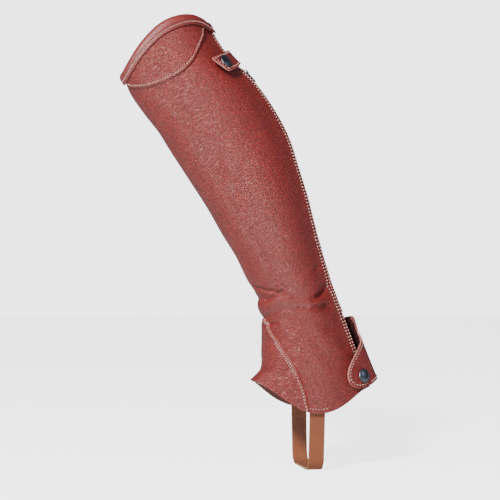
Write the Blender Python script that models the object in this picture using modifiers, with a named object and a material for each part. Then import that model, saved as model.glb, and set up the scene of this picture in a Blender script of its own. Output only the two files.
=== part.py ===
"""A leather half chap, worn on a left leg: panels, top binding, zip, snap tab, heel flap and foot strap.

Metres, +Z up. The toe points to -X, the heel to +X and the outer side of the leg to -Y.
The origin is inside the calf, where the leg carries the half chap.
"""
import math
from collections import namedtuple

import bmesh
import bpy
import numpy as np
from mathutils import Matrix, Vector

# Driving sizes, in millimetres.
LEATHER = 1.8            # the leg panel and the vamp
LENS_LEATHER = 1.5       # the decorated panel under the top binding
BAND_LEATHER = 1.5       # the rolled top binding
FLAP_LEATHER = 2.2       # the heel flap and the snap tab
STRAP_LEATHER = 2.4      # the strap under the foot
TAPE = 1.0               # the zip's woven tapes
CHAIN_WIDTH = 5.0        # the closed teeth of the zip
CHAIN_THICK = 1.6
CHAIN_OUT = 0.3          # the teeth's outer face above the leather's inner face
GAP = 0.35               # what separate pieces keep between them
LAID_GAP = 0.55          # the same for a panel laid on a curved panel, whose facets differ from its own

ZIP_TURN = 12.0          # the zip runs this many degrees to the outer side of centre back
ZIP_HALF_GAP = 6.0       # from the zip's middle to each leather edge beside it
RIDGE = 8.5              # how far the stiff zip draws the leather out to a ridge
RIDGE_SPREAD = 17.0      # the ridge's half spread, in degrees round the leg
TAPE_COLUMNS = 4         # how many of the leg panel's columns each tape runs in under it
TAPE_SPLIT = 3.3         # from the zip's middle to each tape's edge beside the teeth
ZIP_TOP = 0.62           # stations where the tapes start and end
ZIP_END = 13.9

SNAP_RADIUS = 7.5
SNAP_HEIGHT = 2.6
SNAP_SIDES = 20

STRAP_WIDTH = 16.5
STRAP_BOTTOM = -354.0    # the strap's lowest face, where the boot's sole was
STRAP_CORNER = 14.0      # its bend at each edge of the sole
STRAP_LAP = 19.0         # how far it runs up inside the hem
STRAP_AHEAD = 2.6        # its middle ahead of the hem's lowest point
STRAP_CLEAR = 1.8        # what keeps it off the hem's curve
SOLE_HALF = 38.0         # half the width of the sole that the strap bends round

MM = 0.001

# One row for each station down the leg, in millimetres. front_x to back_z: the outline's front and back
# points. outer and inner: half widths to each side. rise: how far the top edge arches up on the outer
# side, dying out below. drop: how far the hem hangs below the front and back. cover: leather in front.
Section = namedtuple("Section", "front_x front_z back_x back_z outer inner rise drop cover")
SECTIONS = (
    Section(-110.5, 60.0, -16.0, 107.5, 54.0, 52.0, 27.5, 0.0, 4.5),
    Section(-101.0, 42.5, -4.0, 88.0, 55.0, 53.0, 22.5, 0.0, 1.8),
    Section(-86.5, 21.5, 12.0, 71.0, 56.5, 54.0, 17.0, 0.0, 1.8),
    Section(-70.0, -1.0, 34.5, 51.0, 58.0, 55.0, 10.0, 0.0, 1.8),
    Section(-52.5, -26.5, 53.0, 26.5, 58.0, 56.0, 4.0, 0.0, 1.8),
    Section(-34.5, -53.5, 68.5, -1.0, 57.0, 56.0, 1.0, 0.0, 1.8),
    Section(-17.0, -80.0, 79.0, -31.5, 55.0, 54.5, 0.0, 0.0, 1.8),
    Section(-1.0, -107.5, 89.0, -62.0, 52.0, 52.0, 0.0, 0.0, 1.8),
    Section(13.0, -130.0, 96.0, -88.0, 48.5, 49.0, 0.0, 0.0, 1.8),
    Section(24.5, -153.5, 103.5, -114.5, 45.0, 46.0, 0.0, 0.0, 1.8),
    Section(34.0, -168.5, 108.5, -130.5, 43.0, 44.0, 0.0, 0.0, 1.8),
    Section(35.5, -179.0, 112.5, -143.0, 42.0, 43.0, 0.0, 0.0, 1.8),
    Section(38.5, -191.0, 117.0, -157.0, 41.5, 42.5, 0.0, 1.0, 2.6),
    Section(41.0, -201.5, 122.5, -171.5, 41.5, 42.0, 0.0, 3.0, 4.1),
    Section(41.0, -217.5, 130.0, -189.5, 42.0, 42.0, 0.0, 7.0, 4.1),
    Section(40.5, -233.0, 137.0, -208.0, 43.0, 42.5, 0.0, 12.0, 4.1),
    Section(40.5, -242.0, 144.0, -226.0, 44.0, 43.0, 0.0, 18.0, 4.1),
    Section(38.0, -252.5, 152.0, -246.5, 44.5, 43.5, 0.0, 22.5, 4.1),
    Section(27.0, -263.0, 160.5, -267.0, 45.0, 44.0, 0.0, 28.0, 4.1),
)
STATIONS = len(SECTIONS) - 1
TABLE = np.array(SECTIONS)
ARCH_ROUND = 0.02        # eases the arch of the top edge into the centre back and front
ARCH_FULL = math.sqrt(1.0 + ARCH_ROUND) - math.sqrt(ARCH_ROUND)
FRONT_ARCH = 1.45        # the power that flattens the arch toward the front
ARCH_LEAN = 0.32         # the arch leans back by this much of its rise
INNER_RISE = 0.15        # the inner side rises by this much of the outer side's arch
HEM_FRONT = 3.3          # the powers that draw the hem's drop to a point under the foot
HEM_BACK = 2.7
PANEL_STATIONS = np.concatenate([np.linspace(0.0, 10.0, 16), np.linspace(10.33, 14.0, 12),
                                 np.linspace(14.5, 18.0, 8)])
PANEL_COLUMNS = np.concatenate([np.linspace(0.0, 0.12, 6), np.linspace(0.17, 1.0, 17)])

# The folds where the leather gives over the ankle. Each runs from one turn and station to another;
# a turn is in degrees round the leg, 0 at the back, 90 on the outer side and 180 at the front.
Fold = namedtuple("Fold", "turn station to_turn to_station width depth")
FOLDS = (
    Fold(180.0, 10.6, 128.0, 10.9, 0.42, -3.2),
    Fold(176.0, 11.5, 120.0, 11.6, 0.45, 2.2),
    Fold(176.0, 12.5, 140.0, 12.2, 0.40, -2.2),
    Fold(112.0, 11.1, 76.0, 11.8, 0.45, -1.8),
    Fold(66.0, 12.4, 34.0, 11.9, 0.50, -2.2),
    Fold(104.0, 12.2, 70.0, 12.9, 0.55, 1.4),
    Fold(96.0, 14.2, 60.0, 15.0, 0.70, 1.2),
    Fold(184.0, 10.6, 236.0, 10.9, 0.42, -3.0),
    Fold(186.0, 12.4, 224.0, 12.2, 0.42, -2.0),
    Fold(250.0, 11.2, 286.0, 11.9, 0.45, -1.8),
    Fold(296.0, 12.5, 324.0, 12.0, 0.50, -2.0),
    Fold(176.0, 3.0, 150.0, 3.3, 0.55, -1.3),
)

# The vamp's sewn edge, down each side of the front ankle: the turn it has reached at each station.
VampEdge = namedtuple("VampEdge", "station turn")
VAMP_EDGE = (
    VampEdge(12.45, 175.0),
    VampEdge(13.05, 166.0),
    VampEdge(13.75, 151.0),
    VampEdge(14.35, 138.0),
    VampEdge(15.2, 125.0),
    VampEdge(16.65, 113.0),
    VampEdge(17.4, 105.0),
    VampEdge(18.0, 98.0),
)
VAMP_OVERLAP = 9.0       # degrees of leg panel that run on beneath the vamp

# The lens panel's lower edge on the outer side, from its front point to its rear one.
LensEdge = namedtuple("LensEdge", "turn station")
LENS_EDGE = (
    LensEdge(178.0, 0.45),
    LensEdge(168.0, 0.78),
    LensEdge(156.0, 1.10),
    LensEdge(143.0, 1.42),
    LensEdge(131.0, 1.63),
    LensEdge(119.0, 1.77),
    LensEdge(106.0, 1.84),
    LensEdge(95.0, 1.81),
    LensEdge(83.0, 1.66),
    LensEdge(70.0, 1.37),
    LensEdge(53.0, 0.92),
    LensEdge(42.0, 0.56),
    LensEdge(36.0, 0.40),
)
LENS_TOP = 0.18          # the station where its upper edge stops, under the binding

# The heel flap's free edge: the turn at which it is cut, from its top corner to its lower edge.
FlapEdge = namedtuple("FlapEdge", "station turn")
FLAP_EDGE = (
    FlapEdge(14.35, 16.0),
    FlapEdge(14.7, 9.0),
    FlapEdge(15.1, 5.0),
    FlapEdge(15.5, 5.0),
    FlapEdge(15.8, 12.0),
    FlapEdge(16.0, 22.0),
    FlapEdge(16.2, 32.0),
    FlapEdge(16.4, 43.0),
    FlapEdge(16.65, 50.0),
    FlapEdge(16.95, 52.0),
    FlapEdge(17.25, 50.0),
    FlapEdge(17.5, 44.5),
    FlapEdge(17.75, 36.0),
    FlapEdge(17.95, 25.0),
)
FLAP_ROOT = -62.0        # the turn on the inner side where the flap is sewn down
FLAP_REST = 4.6          # the flap's outer face above the leg, where it lies on a panel
FLAP_BULGE = 13.4        # how much further it stands off round the heel
FLAP_BULGE_TURN = 4.0
FLAP_BULGE_SPREAD = 27.0
HEEL_SNAP = (31.0, 17.3)

TAB_END = 68.0           # turns of the snap tab's free and sewn ends
TAB_SLANT = 9.0          # degrees less that its lower edge reaches at the free end
TAB_ROOT = -46.0
TAB_TOP = 1.33           # the stations where it crosses the zip
TAB_FOOT = 2.15
TAB_FALL = 0.70          # stations that it drops in all, past the zip, as the arch above it rises
TAB_NARROW = 0.33        # how much the stations it covers shrink there, for the same width
TAB_REST = 4.5
TAB_BULGE = 8.9          # how much further it stands off, over the ridge
TAB_BULGE_SPREAD = 20.0
TAB_LIFT = 5.5           # how much its free end springs up
TAB_SNAP_TURN = 53.0

BAND_END_OUT = 4.0       # how far its flattened ends by the zip stand out, and how they rise, per degree
BAND_END_RISE = 0.16
BandPoint = namedtuple("BandPoint", "down out")
BAND_PROFILE = (         # the binding's outer skin, down from the top edge and out from the leg
    BandPoint(11.0, 5.6),
    BandPoint(9.0, 6.6),
    BandPoint(6.0, 7.3),
    BandPoint(2.6, 7.2),
    BandPoint(-0.6, 6.0),
    BandPoint(-2.4, 3.6),
    BandPoint(-2.9, 0.6),
    BandPoint(-2.1, -1.8),
    BandPoint(1.0, -2.9),
    BandPoint(6.0, -3.0),
    BandPoint(10.0, -3.0),
)

CHAIN_TOP = 2.11         # the teeth close from here down, under the slider
SLIDER_STATION = 2.37    # where the slider stops, just below the tab
SLIDER_LENGTH = 9.0
SLIDER_WIDTH = 8.0
SLIDER_THICK = 1.2
CROWN_LENGTH = 5.8
CROWN_DOWN = 1.4         # the crown's middle below the slider's own
CROWN_WIDTH = 2.2
CROWN_BAR = 0.8
CROWN_OPENING = 2.0
PULL_LENGTH = 15.0
PULL_WIDTH = 5.6
PULL_THICK = 0.9
PULL_EYE = 3.0           # the width of the pull's eye, round the crown
PULL_EYE_LENGTH = 4.0
PULL_TILT = -5.0         # degrees from the slider's own line to the pull's, where it hangs

LEATHER_COLOUR = (0.245, 0.035, 0.032)
TAN_COLOUR = (0.300, 0.120, 0.055)
TAPE_COLOUR = (0.050, 0.012, 0.014)
CHAIN_COLOUR = (0.045, 0.014, 0.016)
GUNMETAL = (0.085, 0.090, 0.100)


# ---- the leg's form -------------------------------------------------------------------------------

def section_at(station):
    """The section table read at any station, as a smooth curve through its rows."""
    place = np.clip(np.asarray(station, float), 0.0, STATIONS)
    row = np.minimum(place.astype(int), STATIONS - 1)
    part = (place - row)[..., None]
    before = TABLE[np.maximum(row - 1, 0)]
    here = TABLE[row]
    after = TABLE[row + 1]
    beyond = TABLE[np.minimum(row + 2, STATIONS)]
    bend = 2 * before - 5 * here + 4 * after - beyond
    twist = 3 * here - before - 3 * after + beyond
    return 0.5 * (2 * here + (after - before) * part + bend * part ** 2 + twist * part ** 3)


def fold_depth(turn, station):
    """How far the folds push the leather out of its plain form, in millimetres."""
    depth = np.zeros(np.broadcast(turn, station).shape)
    for fold in FOLDS:
        along = np.array([(fold.to_turn - fold.turn) / 25.0, fold.to_station - fold.station])
        off_turn = (turn - fold.turn) / 25.0
        off_station = station - fold.station
        place = np.clip((off_turn * along[0] + off_station * along[1]) / along.dot(along), 0.0, 1.0)
        away = (off_turn - place * along[0]) ** 2 + (off_station - place * along[1]) ** 2
        taper = 0.35 + 0.65 * np.sin(math.pi * np.clip(place, 0.08, 0.92))
        depth = depth + fold.depth * taper * np.exp(-away / fold.width ** 2)
    return depth


def plain_point(turn, station, ridge=RIDGE):
    """A point on the leather's inner face, with no folds. Turn in degrees, result in millimetres."""
    table = section_at(station)
    front_x, front_z, back_x, back_z, outer, inner, rise, drop, cover = np.moveaxis(table, -1, 0)
    length = np.hypot(back_x - front_x, back_z - front_z)
    along_x = (back_x - front_x) / length
    along_z = (back_z - front_z) / length
    reach = (length - cover - RIDGE - LEATHER) / 2
    middle = cover + reach
    angle = np.radians(turn)
    side = np.sin(angle)
    wrapped = (turn - ZIP_TURN + 180.0) % 360.0 - 180.0
    drawn = ridge * np.exp(-(wrapped / RIDGE_SPREAD) ** 2)
    forward = middle + reach * np.cos(angle) + drawn * math.cos(math.radians(ZIP_TURN))
    half = np.where(side > 0, outer, inner)
    arch = (np.sqrt(side ** 2 + ARCH_ROUND) - math.sqrt(ARCH_ROUND)) / ARCH_FULL
    raised = np.where(side > 0, rise, INNER_RISE * rise) * arch ** np.where(np.cos(angle) > 0, 1.0, FRONT_ARCH)
    lift = raised - drop * np.abs(side) ** np.where(np.cos(angle) > 0, HEM_BACK, HEM_FRONT)
    forward = forward + ARCH_LEAN * raised
    x = front_x + forward * along_x - lift * along_z
    z = front_z + forward * along_z + lift * along_x
    y = -half * side - drawn * math.sin(math.radians(ZIP_TURN))
    return np.stack([x, y, z], -1)


def leg_frame(turn, station, ridge=RIDGE):
    """The point, outward normal, downward direction and millimetres a station at a place on the leg."""
    turn, station = np.broadcast_arrays(np.asarray(turn, float), np.asarray(station, float))
    step_turn = 0.5
    step = 0.04
    low = np.clip(station - step, 0.0, STATIONS)
    high = np.clip(station + step, 0.0, STATIONS)
    point = plain_point(turn, station, ridge)
    around = plain_point(turn + step_turn, station, ridge) - plain_point(turn - step_turn, station, ridge)
    down = plain_point(turn, high, ridge) - plain_point(turn, low, ridge)
    normal = np.cross(around, down)
    normal /= np.linalg.norm(normal, axis=-1, keepdims=True)
    scale = np.linalg.norm(down, axis=-1) / (high - low)
    down /= np.linalg.norm(down, axis=-1, keepdims=True)
    return point, normal, down, scale


def leg_point(turn, station, out):
    """A point that lies `out` millimetres outside the leg, folds and all."""
    turn, station, out = np.broadcast_arrays(*(np.asarray(v, float) for v in (turn, station, out)))
    point, normal, _, _ = leg_frame(turn, station)
    return point + normal * (out + fold_depth(turn % 360.0, station))[..., None]


def bridge_point(turn, station, out):
    """A point on a strap that bridges the zip: `out` millimetres outside the leg without its ridge."""
    turn, station, out = np.broadcast_arrays(*(np.asarray(v, float) for v in (turn, station, out)))
    point, normal, _, _ = leg_frame(turn, station, 0.0)
    return point + normal * out[..., None]


def degrees_for(turn, station, width):
    """The turn in degrees that covers a width in millimetres at a place on the leg."""
    step = 0.5
    ends = plain_point(turn + step, station) - plain_point(turn - step, station)
    return width / (np.linalg.norm(ends, axis=-1) / (2 * step))


def read_edge(rows, place, at, value):
    """The value column of an edge table, read at a place in its other column."""
    places = [getattr(row, at) for row in rows]
    values = [getattr(row, value) for row in rows]
    if places[0] > places[-1]:
        places, values = places[::-1], values[::-1]
    return np.interp(place, places, values)


def bump(turn, middle, spread):
    """A smooth bulge of height 1 about a turn."""
    return np.exp(-((turn - middle) / spread) ** 2)


# ---- objects --------------------------------------------------------------------------------------

def clear_scene():
    for item in list(bpy.data.objects):
        bpy.data.objects.remove(item, do_unlink=True)


def make_material(name, colour, roughness, metallic=0.0):
    material = bpy.data.materials.new(name)
    material.use_nodes = True
    shader = material.node_tree.nodes["Principled BSDF"]
    shader.inputs["Base Color"].default_value = (*colour, 1.0)
    shader.inputs["Roughness"].default_value = roughness
    shader.inputs["Metallic"].default_value = metallic
    return material


def add_mesh(name, mesh_data, material, collection):
    mesh = bpy.data.meshes.new(name)
    mesh_data.to_mesh(mesh)
    mesh_data.free()
    mesh.materials.append(material)
    item = bpy.data.objects.new(name, mesh)
    collection.objects.link(item)
    return item


def cloth(name, grids, thickness, material, collection):
    """A leather or woven piece: grids of outer-face points, made a wall by Solidify on its inner side.

    Each grid has rows down the leg and columns with rising turn, so its faces look outward.
    """
    shape = bmesh.new()
    for grid in grids:
        rows, columns = grid.shape[:2]
        verts = [[shape.verts.new(Vector(grid[r, c]) * MM) for c in range(columns)] for r in range(rows)]
        for r in range(rows - 1):
            for c in range(columns - 1):
                corners = (verts[r][c], verts[r][c + 1], verts[r + 1][c + 1], verts[r + 1][c])
                shape.faces.new(corners)
    bmesh.ops.remove_doubles(shape, verts=shape.verts, dist=0.02 * MM)
    item = add_mesh(name, shape, material, collection)
    wall = item.modifiers.new("Wall", "SOLIDIFY")
    wall.thickness = thickness * MM
    wall.offset = -1.0
    wall.use_even_offset = True
    return item


def local_axes(turn, station):
    """A place on the leg, with unit axes there: across, level round the leg, and out from it."""
    point, normal, down, _ = leg_frame(turn, station)
    out = Vector(normal)
    down = Vector(down)
    across = down.cross(out).normalized()
    return Vector(point), across, out


def placed(origin, across, out, down):
    """A matrix whose local X runs across, Y down and Z out, at an origin in millimetres."""
    matrix = Matrix((across, down, out)).transposed().to_4x4()
    matrix.translation = origin * MM
    return matrix


# ---- the leather ----------------------------------------------------------------------------------

def zip_edge(station, side):
    """The turn of the leather's edge beside the zip, on the outer (+1) or inner (-1) side."""
    return ZIP_TURN + side * degrees_for(ZIP_TURN, station, ZIP_HALF_GAP)


def vamp_turn(station):
    return read_edge(VAMP_EDGE, station, "station", "turn")


def panel_turns(stations, side):
    """The leg panel's columns on one side, from the zip's edge to the front or to the vamp's notch."""
    front = np.where(stations < VAMP_EDGE[0].station + 0.5, 180.0,
                     np.minimum(180.0, vamp_turn(stations) + VAMP_OVERLAP))[:, None]
    start = zip_edge(stations, side)[:, None]
    return start + (side * front - start) * PANEL_COLUMNS[None, :]


def leg_panel(material, collection):
    """The main panel, from the zip round the shin to the zip, notched in front for the vamp."""
    rows = PANEL_STATIONS[:, None]
    outer = leg_point(panel_turns(PANEL_STATIONS, 1), rows, LEATHER)
    inner = leg_point(panel_turns(PANEL_STATIONS, -1)[:, ::-1], rows, LEATHER)
    return cloth("leg_panel", [outer, inner], LEATHER, material, collection)


def vamp(material, collection):
    """The tongue-shaped panel over the front of the ankle, on top of the leg panel's edges."""
    stations = np.concatenate([np.linspace(VAMP_EDGE[0].station, 14.0, 7), np.linspace(14.5, 18.0, 8)])
    across = np.linspace(0.0, 1.0, 23)[None, :]
    start = vamp_turn(stations)[:, None]
    turns = start + (360.0 - 2 * start) * across
    grid = leg_point(turns, stations[:, None], 2 * LEATHER + LAID_GAP)
    return cloth("vamp", [grid], LEATHER, material, collection)


def lens_panel(material, collection):
    """The pointed panel on the outer side, tucked under the top binding."""
    turns = np.linspace(LENS_EDGE[-1].turn, LENS_EDGE[0].turn, 25)[None, :]
    low = read_edge(LENS_EDGE, turns, "turn", "station")
    down = np.linspace(0.0, 1.0, 6)[:, None]
    stations = LENS_TOP + (low - LENS_TOP) * down
    grid = leg_point(turns + 0.0 * stations, stations, LEATHER + LAID_GAP + LENS_LEATHER)
    return cloth("lens_panel", [grid], LENS_LEATHER, material, collection)


def top_band(material, collection):
    """The rolled binding, folded over the top edge from one side of the zip to the other."""
    edge = np.zeros(1)
    turns = np.concatenate([panel_turns(edge, 1), panel_turns(edge, -1)[:, -2::-1] + 360.0], axis=1)
    down_mm = np.array([p.down for p in BAND_PROFILE])[::-1, None]
    out_mm = np.array([p.out for p in BAND_PROFILE])[::-1, None]
    on_lens = np.clip(np.minimum(turns - LENS_EDGE[-1].turn, LENS_EDGE[0].turn - turns) / 8.0 + 1.0, 0.0, 1.0)
    out_mm = out_mm - (1.0 - on_lens) * np.clip(out_mm, 0.0, LENS_LEATHER)
    from_end = np.minimum(turns - turns.min(), turns.max() - turns)
    out_mm = np.minimum(out_mm, BAND_END_OUT + BAND_END_RISE * from_end)
    _, _, _, scale = leg_frame(turns, 0.3)
    stations = np.clip(down_mm / scale, 0.0, None)
    point, normal, down, _ = leg_frame(turns + 0.0 * stations, stations)
    above = np.minimum(down_mm + 0.0 * stations, 0.0)
    grid = point + normal * out_mm[..., None] + down * above[..., None]
    return cloth("top_band", [grid], BAND_LEATHER, material, collection)


def flap_out(turn):
    return FLAP_REST + FLAP_BULGE * bump(turn, FLAP_BULGE_TURN, FLAP_BULGE_SPREAD)


def heel_flap(material, collection):
    """The flap from the inner side round the back of the heel to its snap on the outer side."""
    stations = np.linspace(FLAP_EDGE[0].station, FLAP_EDGE[-1].station, 22)[:, None]
    finish = read_edge(FLAP_EDGE, stations, "station", "turn")
    behind = np.linspace(FLAP_ROOT, FLAP_BULGE_TURN - 4.0, 11)[None, :-1] + 0.0 * stations
    ahead = behind[:, -1:] + (finish - behind[:, -1:]) * np.linspace(0.0, 1.0, 9)[None, 1:]
    turns = np.concatenate([behind, ahead], axis=1)
    grid = bridge_point(turns, stations, flap_out(turns))
    return cloth("heel_flap", [grid], FLAP_LEATHER, material, collection)


def tab_out(turn):
    sprung = TAB_LIFT * np.clip((turn - ZIP_TURN - 3.0) / (TAB_END - ZIP_TURN - 3.0), 0.0, 1.2)
    return TAB_REST + TAB_BULGE * bump(turn, ZIP_TURN, TAB_BULGE_SPREAD) + sprung


def tab_turn(turn, across):
    """A turn along the tab's upper edge, carried to a fraction across it, where the end is slanted."""
    return turn - TAB_SLANT * across * np.clip((turn - ZIP_TURN) / (TAB_END - ZIP_TURN), 0.0, 1.0)


def tab_station(turn, across):
    """The station at a turn and a fraction across the tab, from its upper edge to its lower one."""
    fallen = 1.0 - np.exp(-np.clip(turn - ZIP_TURN, 0.0, None) / 35.0)
    width = (TAB_FOOT - TAB_TOP) * (1.0 - TAB_NARROW * fallen)
    return TAB_TOP + TAB_FALL * fallen + width * across


def snap_tab(material, collection):
    """The short tab from the inner side over the top of the zip to its snap."""
    across = np.linspace(0.0, 1.0, 4)[:, None]
    turns = tab_turn(np.linspace(TAB_ROOT, TAB_END, 21)[None, :], across)
    stations = tab_station(turns, across)
    grid = bridge_point(turns, stations, tab_out(turns))
    return cloth("snap_tab", [grid], FLAP_LEATHER, material, collection)


def foot_strap(material, collection):
    """The strap from inside the outer hem, under the sole and up inside the inner hem."""
    outer_hem = leg_point(90.0, STATIONS - 0.9, 0.0)
    middle_x = outer_hem[0] - STRAP_AHEAD
    top_z = leg_point(90.0, STATIONS, 0.0)[2] + STRAP_LAP
    outer_y = outer_hem[1] + STRAP_CLEAR
    inner_y = leg_point(270.0, STATIONS - 0.9, 0.0)[1] - STRAP_CLEAR
    path = [(outer_y, top_z), (outer_y, top_z - STRAP_LAP)]
    for step in range(7):
        angle = math.radians(15 * step)
        path.append((-SOLE_HALF + STRAP_CORNER * (1 - math.cos(angle)),
                     STRAP_BOTTOM + STRAP_CORNER * (1 - math.sin(angle))))
    path += [(-y, z) for y, z in reversed(path[2:])]
    path += [(inner_y, top_z - STRAP_LAP), (inner_y, top_z)]
    across = np.linspace(-STRAP_WIDTH / 2, STRAP_WIDTH / 2, 3)
    grid = np.array([[(middle_x + dx, y, z) for y, z in path] for dx in across])
    return cloth("foot_strap", [grid], STRAP_LEATHER, material, collection)


# ---- the zip --------------------------------------------------------------------------------------

def zip_stations():
    """The leg panel's own stations beside the zip, from the zip's top to its end."""
    inside = PANEL_STATIONS[(PANEL_STATIONS > ZIP_TOP) & (PANEL_STATIONS < ZIP_END)]
    return np.concatenate([[ZIP_TOP], inside, [ZIP_END]])


def zip_tape(name, side, material, collection):
    """A tape from the zip's middle to its hidden edge, on the leg panel's columns there."""
    stations = zip_stations()
    split = ZIP_TURN + side * degrees_for(ZIP_TURN, stations, TAPE_SPLIT)
    hidden = panel_turns(stations, side)[:, :TAPE_COLUMNS]
    turns = np.concatenate([split[:, None], hidden], axis=1)
    grid = leg_point(turns[:, ::side], stations[:, None], -GAP)
    return cloth(name, [grid], TAPE, material, collection)


def zip_chain(material, collection):
    """The closed teeth, as one narrow band between the tapes, from the slider to the zip's end."""
    stations = zip_stations()
    stations = np.concatenate([[CHAIN_TOP, SLIDER_STATION], stations[stations > SLIDER_STATION]])
    per_mm = degrees_for(ZIP_TURN, stations, 1.0)[:, None]
    widths = np.array([-CHAIN_WIDTH / 2, 0.0, CHAIN_WIDTH / 2])
    grid = leg_point(ZIP_TURN + widths * per_mm, stations[:, None], CHAIN_OUT)
    return cloth("zip_chain", [grid], CHAIN_THICK, material, collection)


def box_points(shape, size, middle):
    made = bmesh.ops.create_cube(shape, size=1.0)
    bmesh.ops.scale(shape, vec=Vector(size) * MM, verts=made["verts"])
    bmesh.ops.translate(shape, vec=Vector(middle) * MM, verts=made["verts"])


def slider_place():
    """Where the slider sits on the chain, as a matrix: X across, Y down the zip, Z out."""
    point, across, out = local_axes(ZIP_TURN, SLIDER_STATION)
    down = out.cross(across)
    seat = point + out * (CHAIN_OUT + LAID_GAP)
    return placed(seat, across, out, down)


def cut_box(name, size, middle, place, cutters):
    shape = bmesh.new()
    box_points(shape, size, middle)
    mesh = bpy.data.meshes.new(name)
    shape.to_mesh(mesh)
    shape.free()
    cutter = bpy.data.objects.new(name, mesh)
    cutters.objects.link(cutter)
    cutter.matrix_world = place
    cutter.hide_render = True
    cutter.display_type = "WIRE"
    return cutter


def subtract(item, cutter):
    cut = item.modifiers.new("Cut", "BOOLEAN")
    cut.operation = "DIFFERENCE"
    cut.solver = "EXACT"
    cut.object = cutter


def zip_slider(metal, collection, cutters):
    """The slider's body, with the low crown that the pull hangs on."""
    place = slider_place()
    shape = bmesh.new()
    height = SLIDER_THICK + CROWN_OPENING + CROWN_BAR
    box_points(shape, (SLIDER_WIDTH, SLIDER_LENGTH, height), (0.0, 0.0, height / 2))
    slider = add_mesh("zip_slider", shape, metal, collection)
    slider.matrix_world = place
    beside = (SLIDER_WIDTH - CROWN_WIDTH) / 2
    for side in (-1, 1):
        size = (beside, SLIDER_LENGTH + 2.0, height)
        middle = (side * (CROWN_WIDTH + beside) / 2 + side * 0.01, 0.0, SLIDER_THICK + height / 2)
        subtract(slider, cut_box(f"beside_crown_{side}", size, middle, place, cutters))
    for side in (-1, 1):
        size = (SLIDER_WIDTH + 2.0, SLIDER_LENGTH, height)
        past = side * (CROWN_LENGTH + SLIDER_LENGTH) / 2
        middle = (0.0, CROWN_DOWN + past, SLIDER_THICK + height / 2)
        subtract(slider, cut_box(f"past_crown_{side}", size, middle, place, cutters))
    opening = (CROWN_WIDTH + 4.0, CROWN_LENGTH - 2 * CROWN_BAR, CROWN_OPENING)
    middle = (0.0, CROWN_DOWN, SLIDER_THICK + CROWN_OPENING / 2)
    subtract(slider, cut_box("crown_opening", opening, middle, place, cutters))
    return slider


def zip_pull(metal, collection, cutters):
    """The pull tab: a flat plate with an eye round the crown, turning on the bar at its top."""
    hinge = Vector((0.0, CROWN_DOWN, SLIDER_THICK + CROWN_OPENING / 2))
    pivot = slider_place() @ Matrix.Translation(hinge * MM)
    place = pivot @ Matrix.Rotation(math.radians(PULL_TILT), 4, "X")
    shape = bmesh.new()
    half_bar = PULL_THICK / 2
    box_points(shape, (PULL_WIDTH, PULL_LENGTH, PULL_THICK), (0.0, PULL_LENGTH / 2 - half_bar, 0.0))
    pull = add_mesh("zip_pull", shape, metal, collection)
    pull.matrix_world = place
    eye_middle = (0.0, half_bar + PULL_EYE_LENGTH / 2, 0.0)
    eye = cut_box("pull_eye", (PULL_EYE, PULL_EYE_LENGTH, PULL_THICK + 2.0), eye_middle, place, cutters)
    subtract(pull, eye)
    return pull


# ---- the snaps ------------------------------------------------------------------------------------

def snap_cap(name, turn, station, out_at, metal, collection):
    """A domed snap cap, turned from a profile, on the outer face of a tab or flap."""
    reach_turn = float(degrees_for(turn, station, SNAP_RADIUS))
    reach = 0.25
    ahead = Vector(bridge_point(turn + reach_turn, station, out_at(turn + reach_turn)))
    behind = Vector(bridge_point(turn - reach_turn, station, out_at(turn - reach_turn)))
    below = Vector(bridge_point(turn, station + reach, out_at(turn)))
    above = Vector(bridge_point(turn, station - reach, out_at(turn)))
    normal = (ahead - behind).cross(below - above).normalized()
    point = Vector(bridge_point(turn, station, out_at(turn))) + normal * GAP
    profile = [(0.0, 0.0), (SNAP_RADIUS * 0.86, 0.0), (SNAP_RADIUS, 0.9), (SNAP_RADIUS * 0.97, 1.5),
               (SNAP_RADIUS * 0.80, 2.1), (SNAP_RADIUS * 0.45, 2.5), (0.0, SNAP_HEIGHT)]
    shape = bmesh.new()
    verts = [shape.verts.new((x * MM, 0.0, z * MM)) for x, z in reversed(profile)]
    for upper, lower in zip(verts, verts[1:]):
        shape.edges.new((upper, lower))
    cap = add_mesh(name, shape, metal, collection)
    turned = cap.modifiers.new("Turn", "SCREW")
    turned.steps = SNAP_SIDES
    turned.render_steps = SNAP_SIDES
    turned.use_merge_vertices = True
    turned.merge_threshold = 0.00005
    turned.use_normal_calculate = True
    cap.matrix_world = Matrix.Translation(point * MM) @ normal.to_track_quat("Z", "Y").to_matrix().to_4x4()
    return cap


def main():
    clear_scene()
    chap = bpy.data.collections.new("half_chap")
    cutters = bpy.data.collections.new("cutters")
    for group in (chap, cutters):
        bpy.context.scene.collection.children.link(group)
    red = LEATHER_COLOUR
    leg_panel(make_material("leg_leather", red, 0.42), chap)
    vamp(make_material("vamp_leather", red, 0.42), chap)
    lens_panel(make_material("lens_leather", red, 0.40), chap)
    top_band(make_material("band_leather", red, 0.34), chap)
    heel_flap(make_material("flap_leather", red, 0.42), chap)
    snap_tab(make_material("tab_leather", red, 0.42), chap)
    foot_strap(make_material("strap_leather", TAN_COLOUR, 0.75), chap)
    tape = make_material("zip_tape", TAPE_COLOUR, 0.9)
    zip_tape("zip_tape_outer", 1, tape, chap)
    zip_tape("zip_tape_inner", -1, tape, chap)
    zip_chain(make_material("zip_teeth", CHAIN_COLOUR, 0.5), chap)
    metal = make_material("zip_metal", GUNMETAL, 0.35, 1.0)
    zip_slider(metal, chap, cutters)
    zip_pull(metal, chap, cutters)
    dark = make_material("snap_metal", GUNMETAL, 0.30, 1.0)
    snap_cap("heel_snap", *HEEL_SNAP, flap_out, dark, chap)
    snap_cap("tab_snap", TAB_SNAP_TURN, tab_station(TAB_SNAP_TURN, 0.5), tab_out, dark, chap)


main()
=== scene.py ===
import math
from collections import namedtuple

import bpy
import numpy as np
from mathutils import Matrix, Vector


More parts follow.
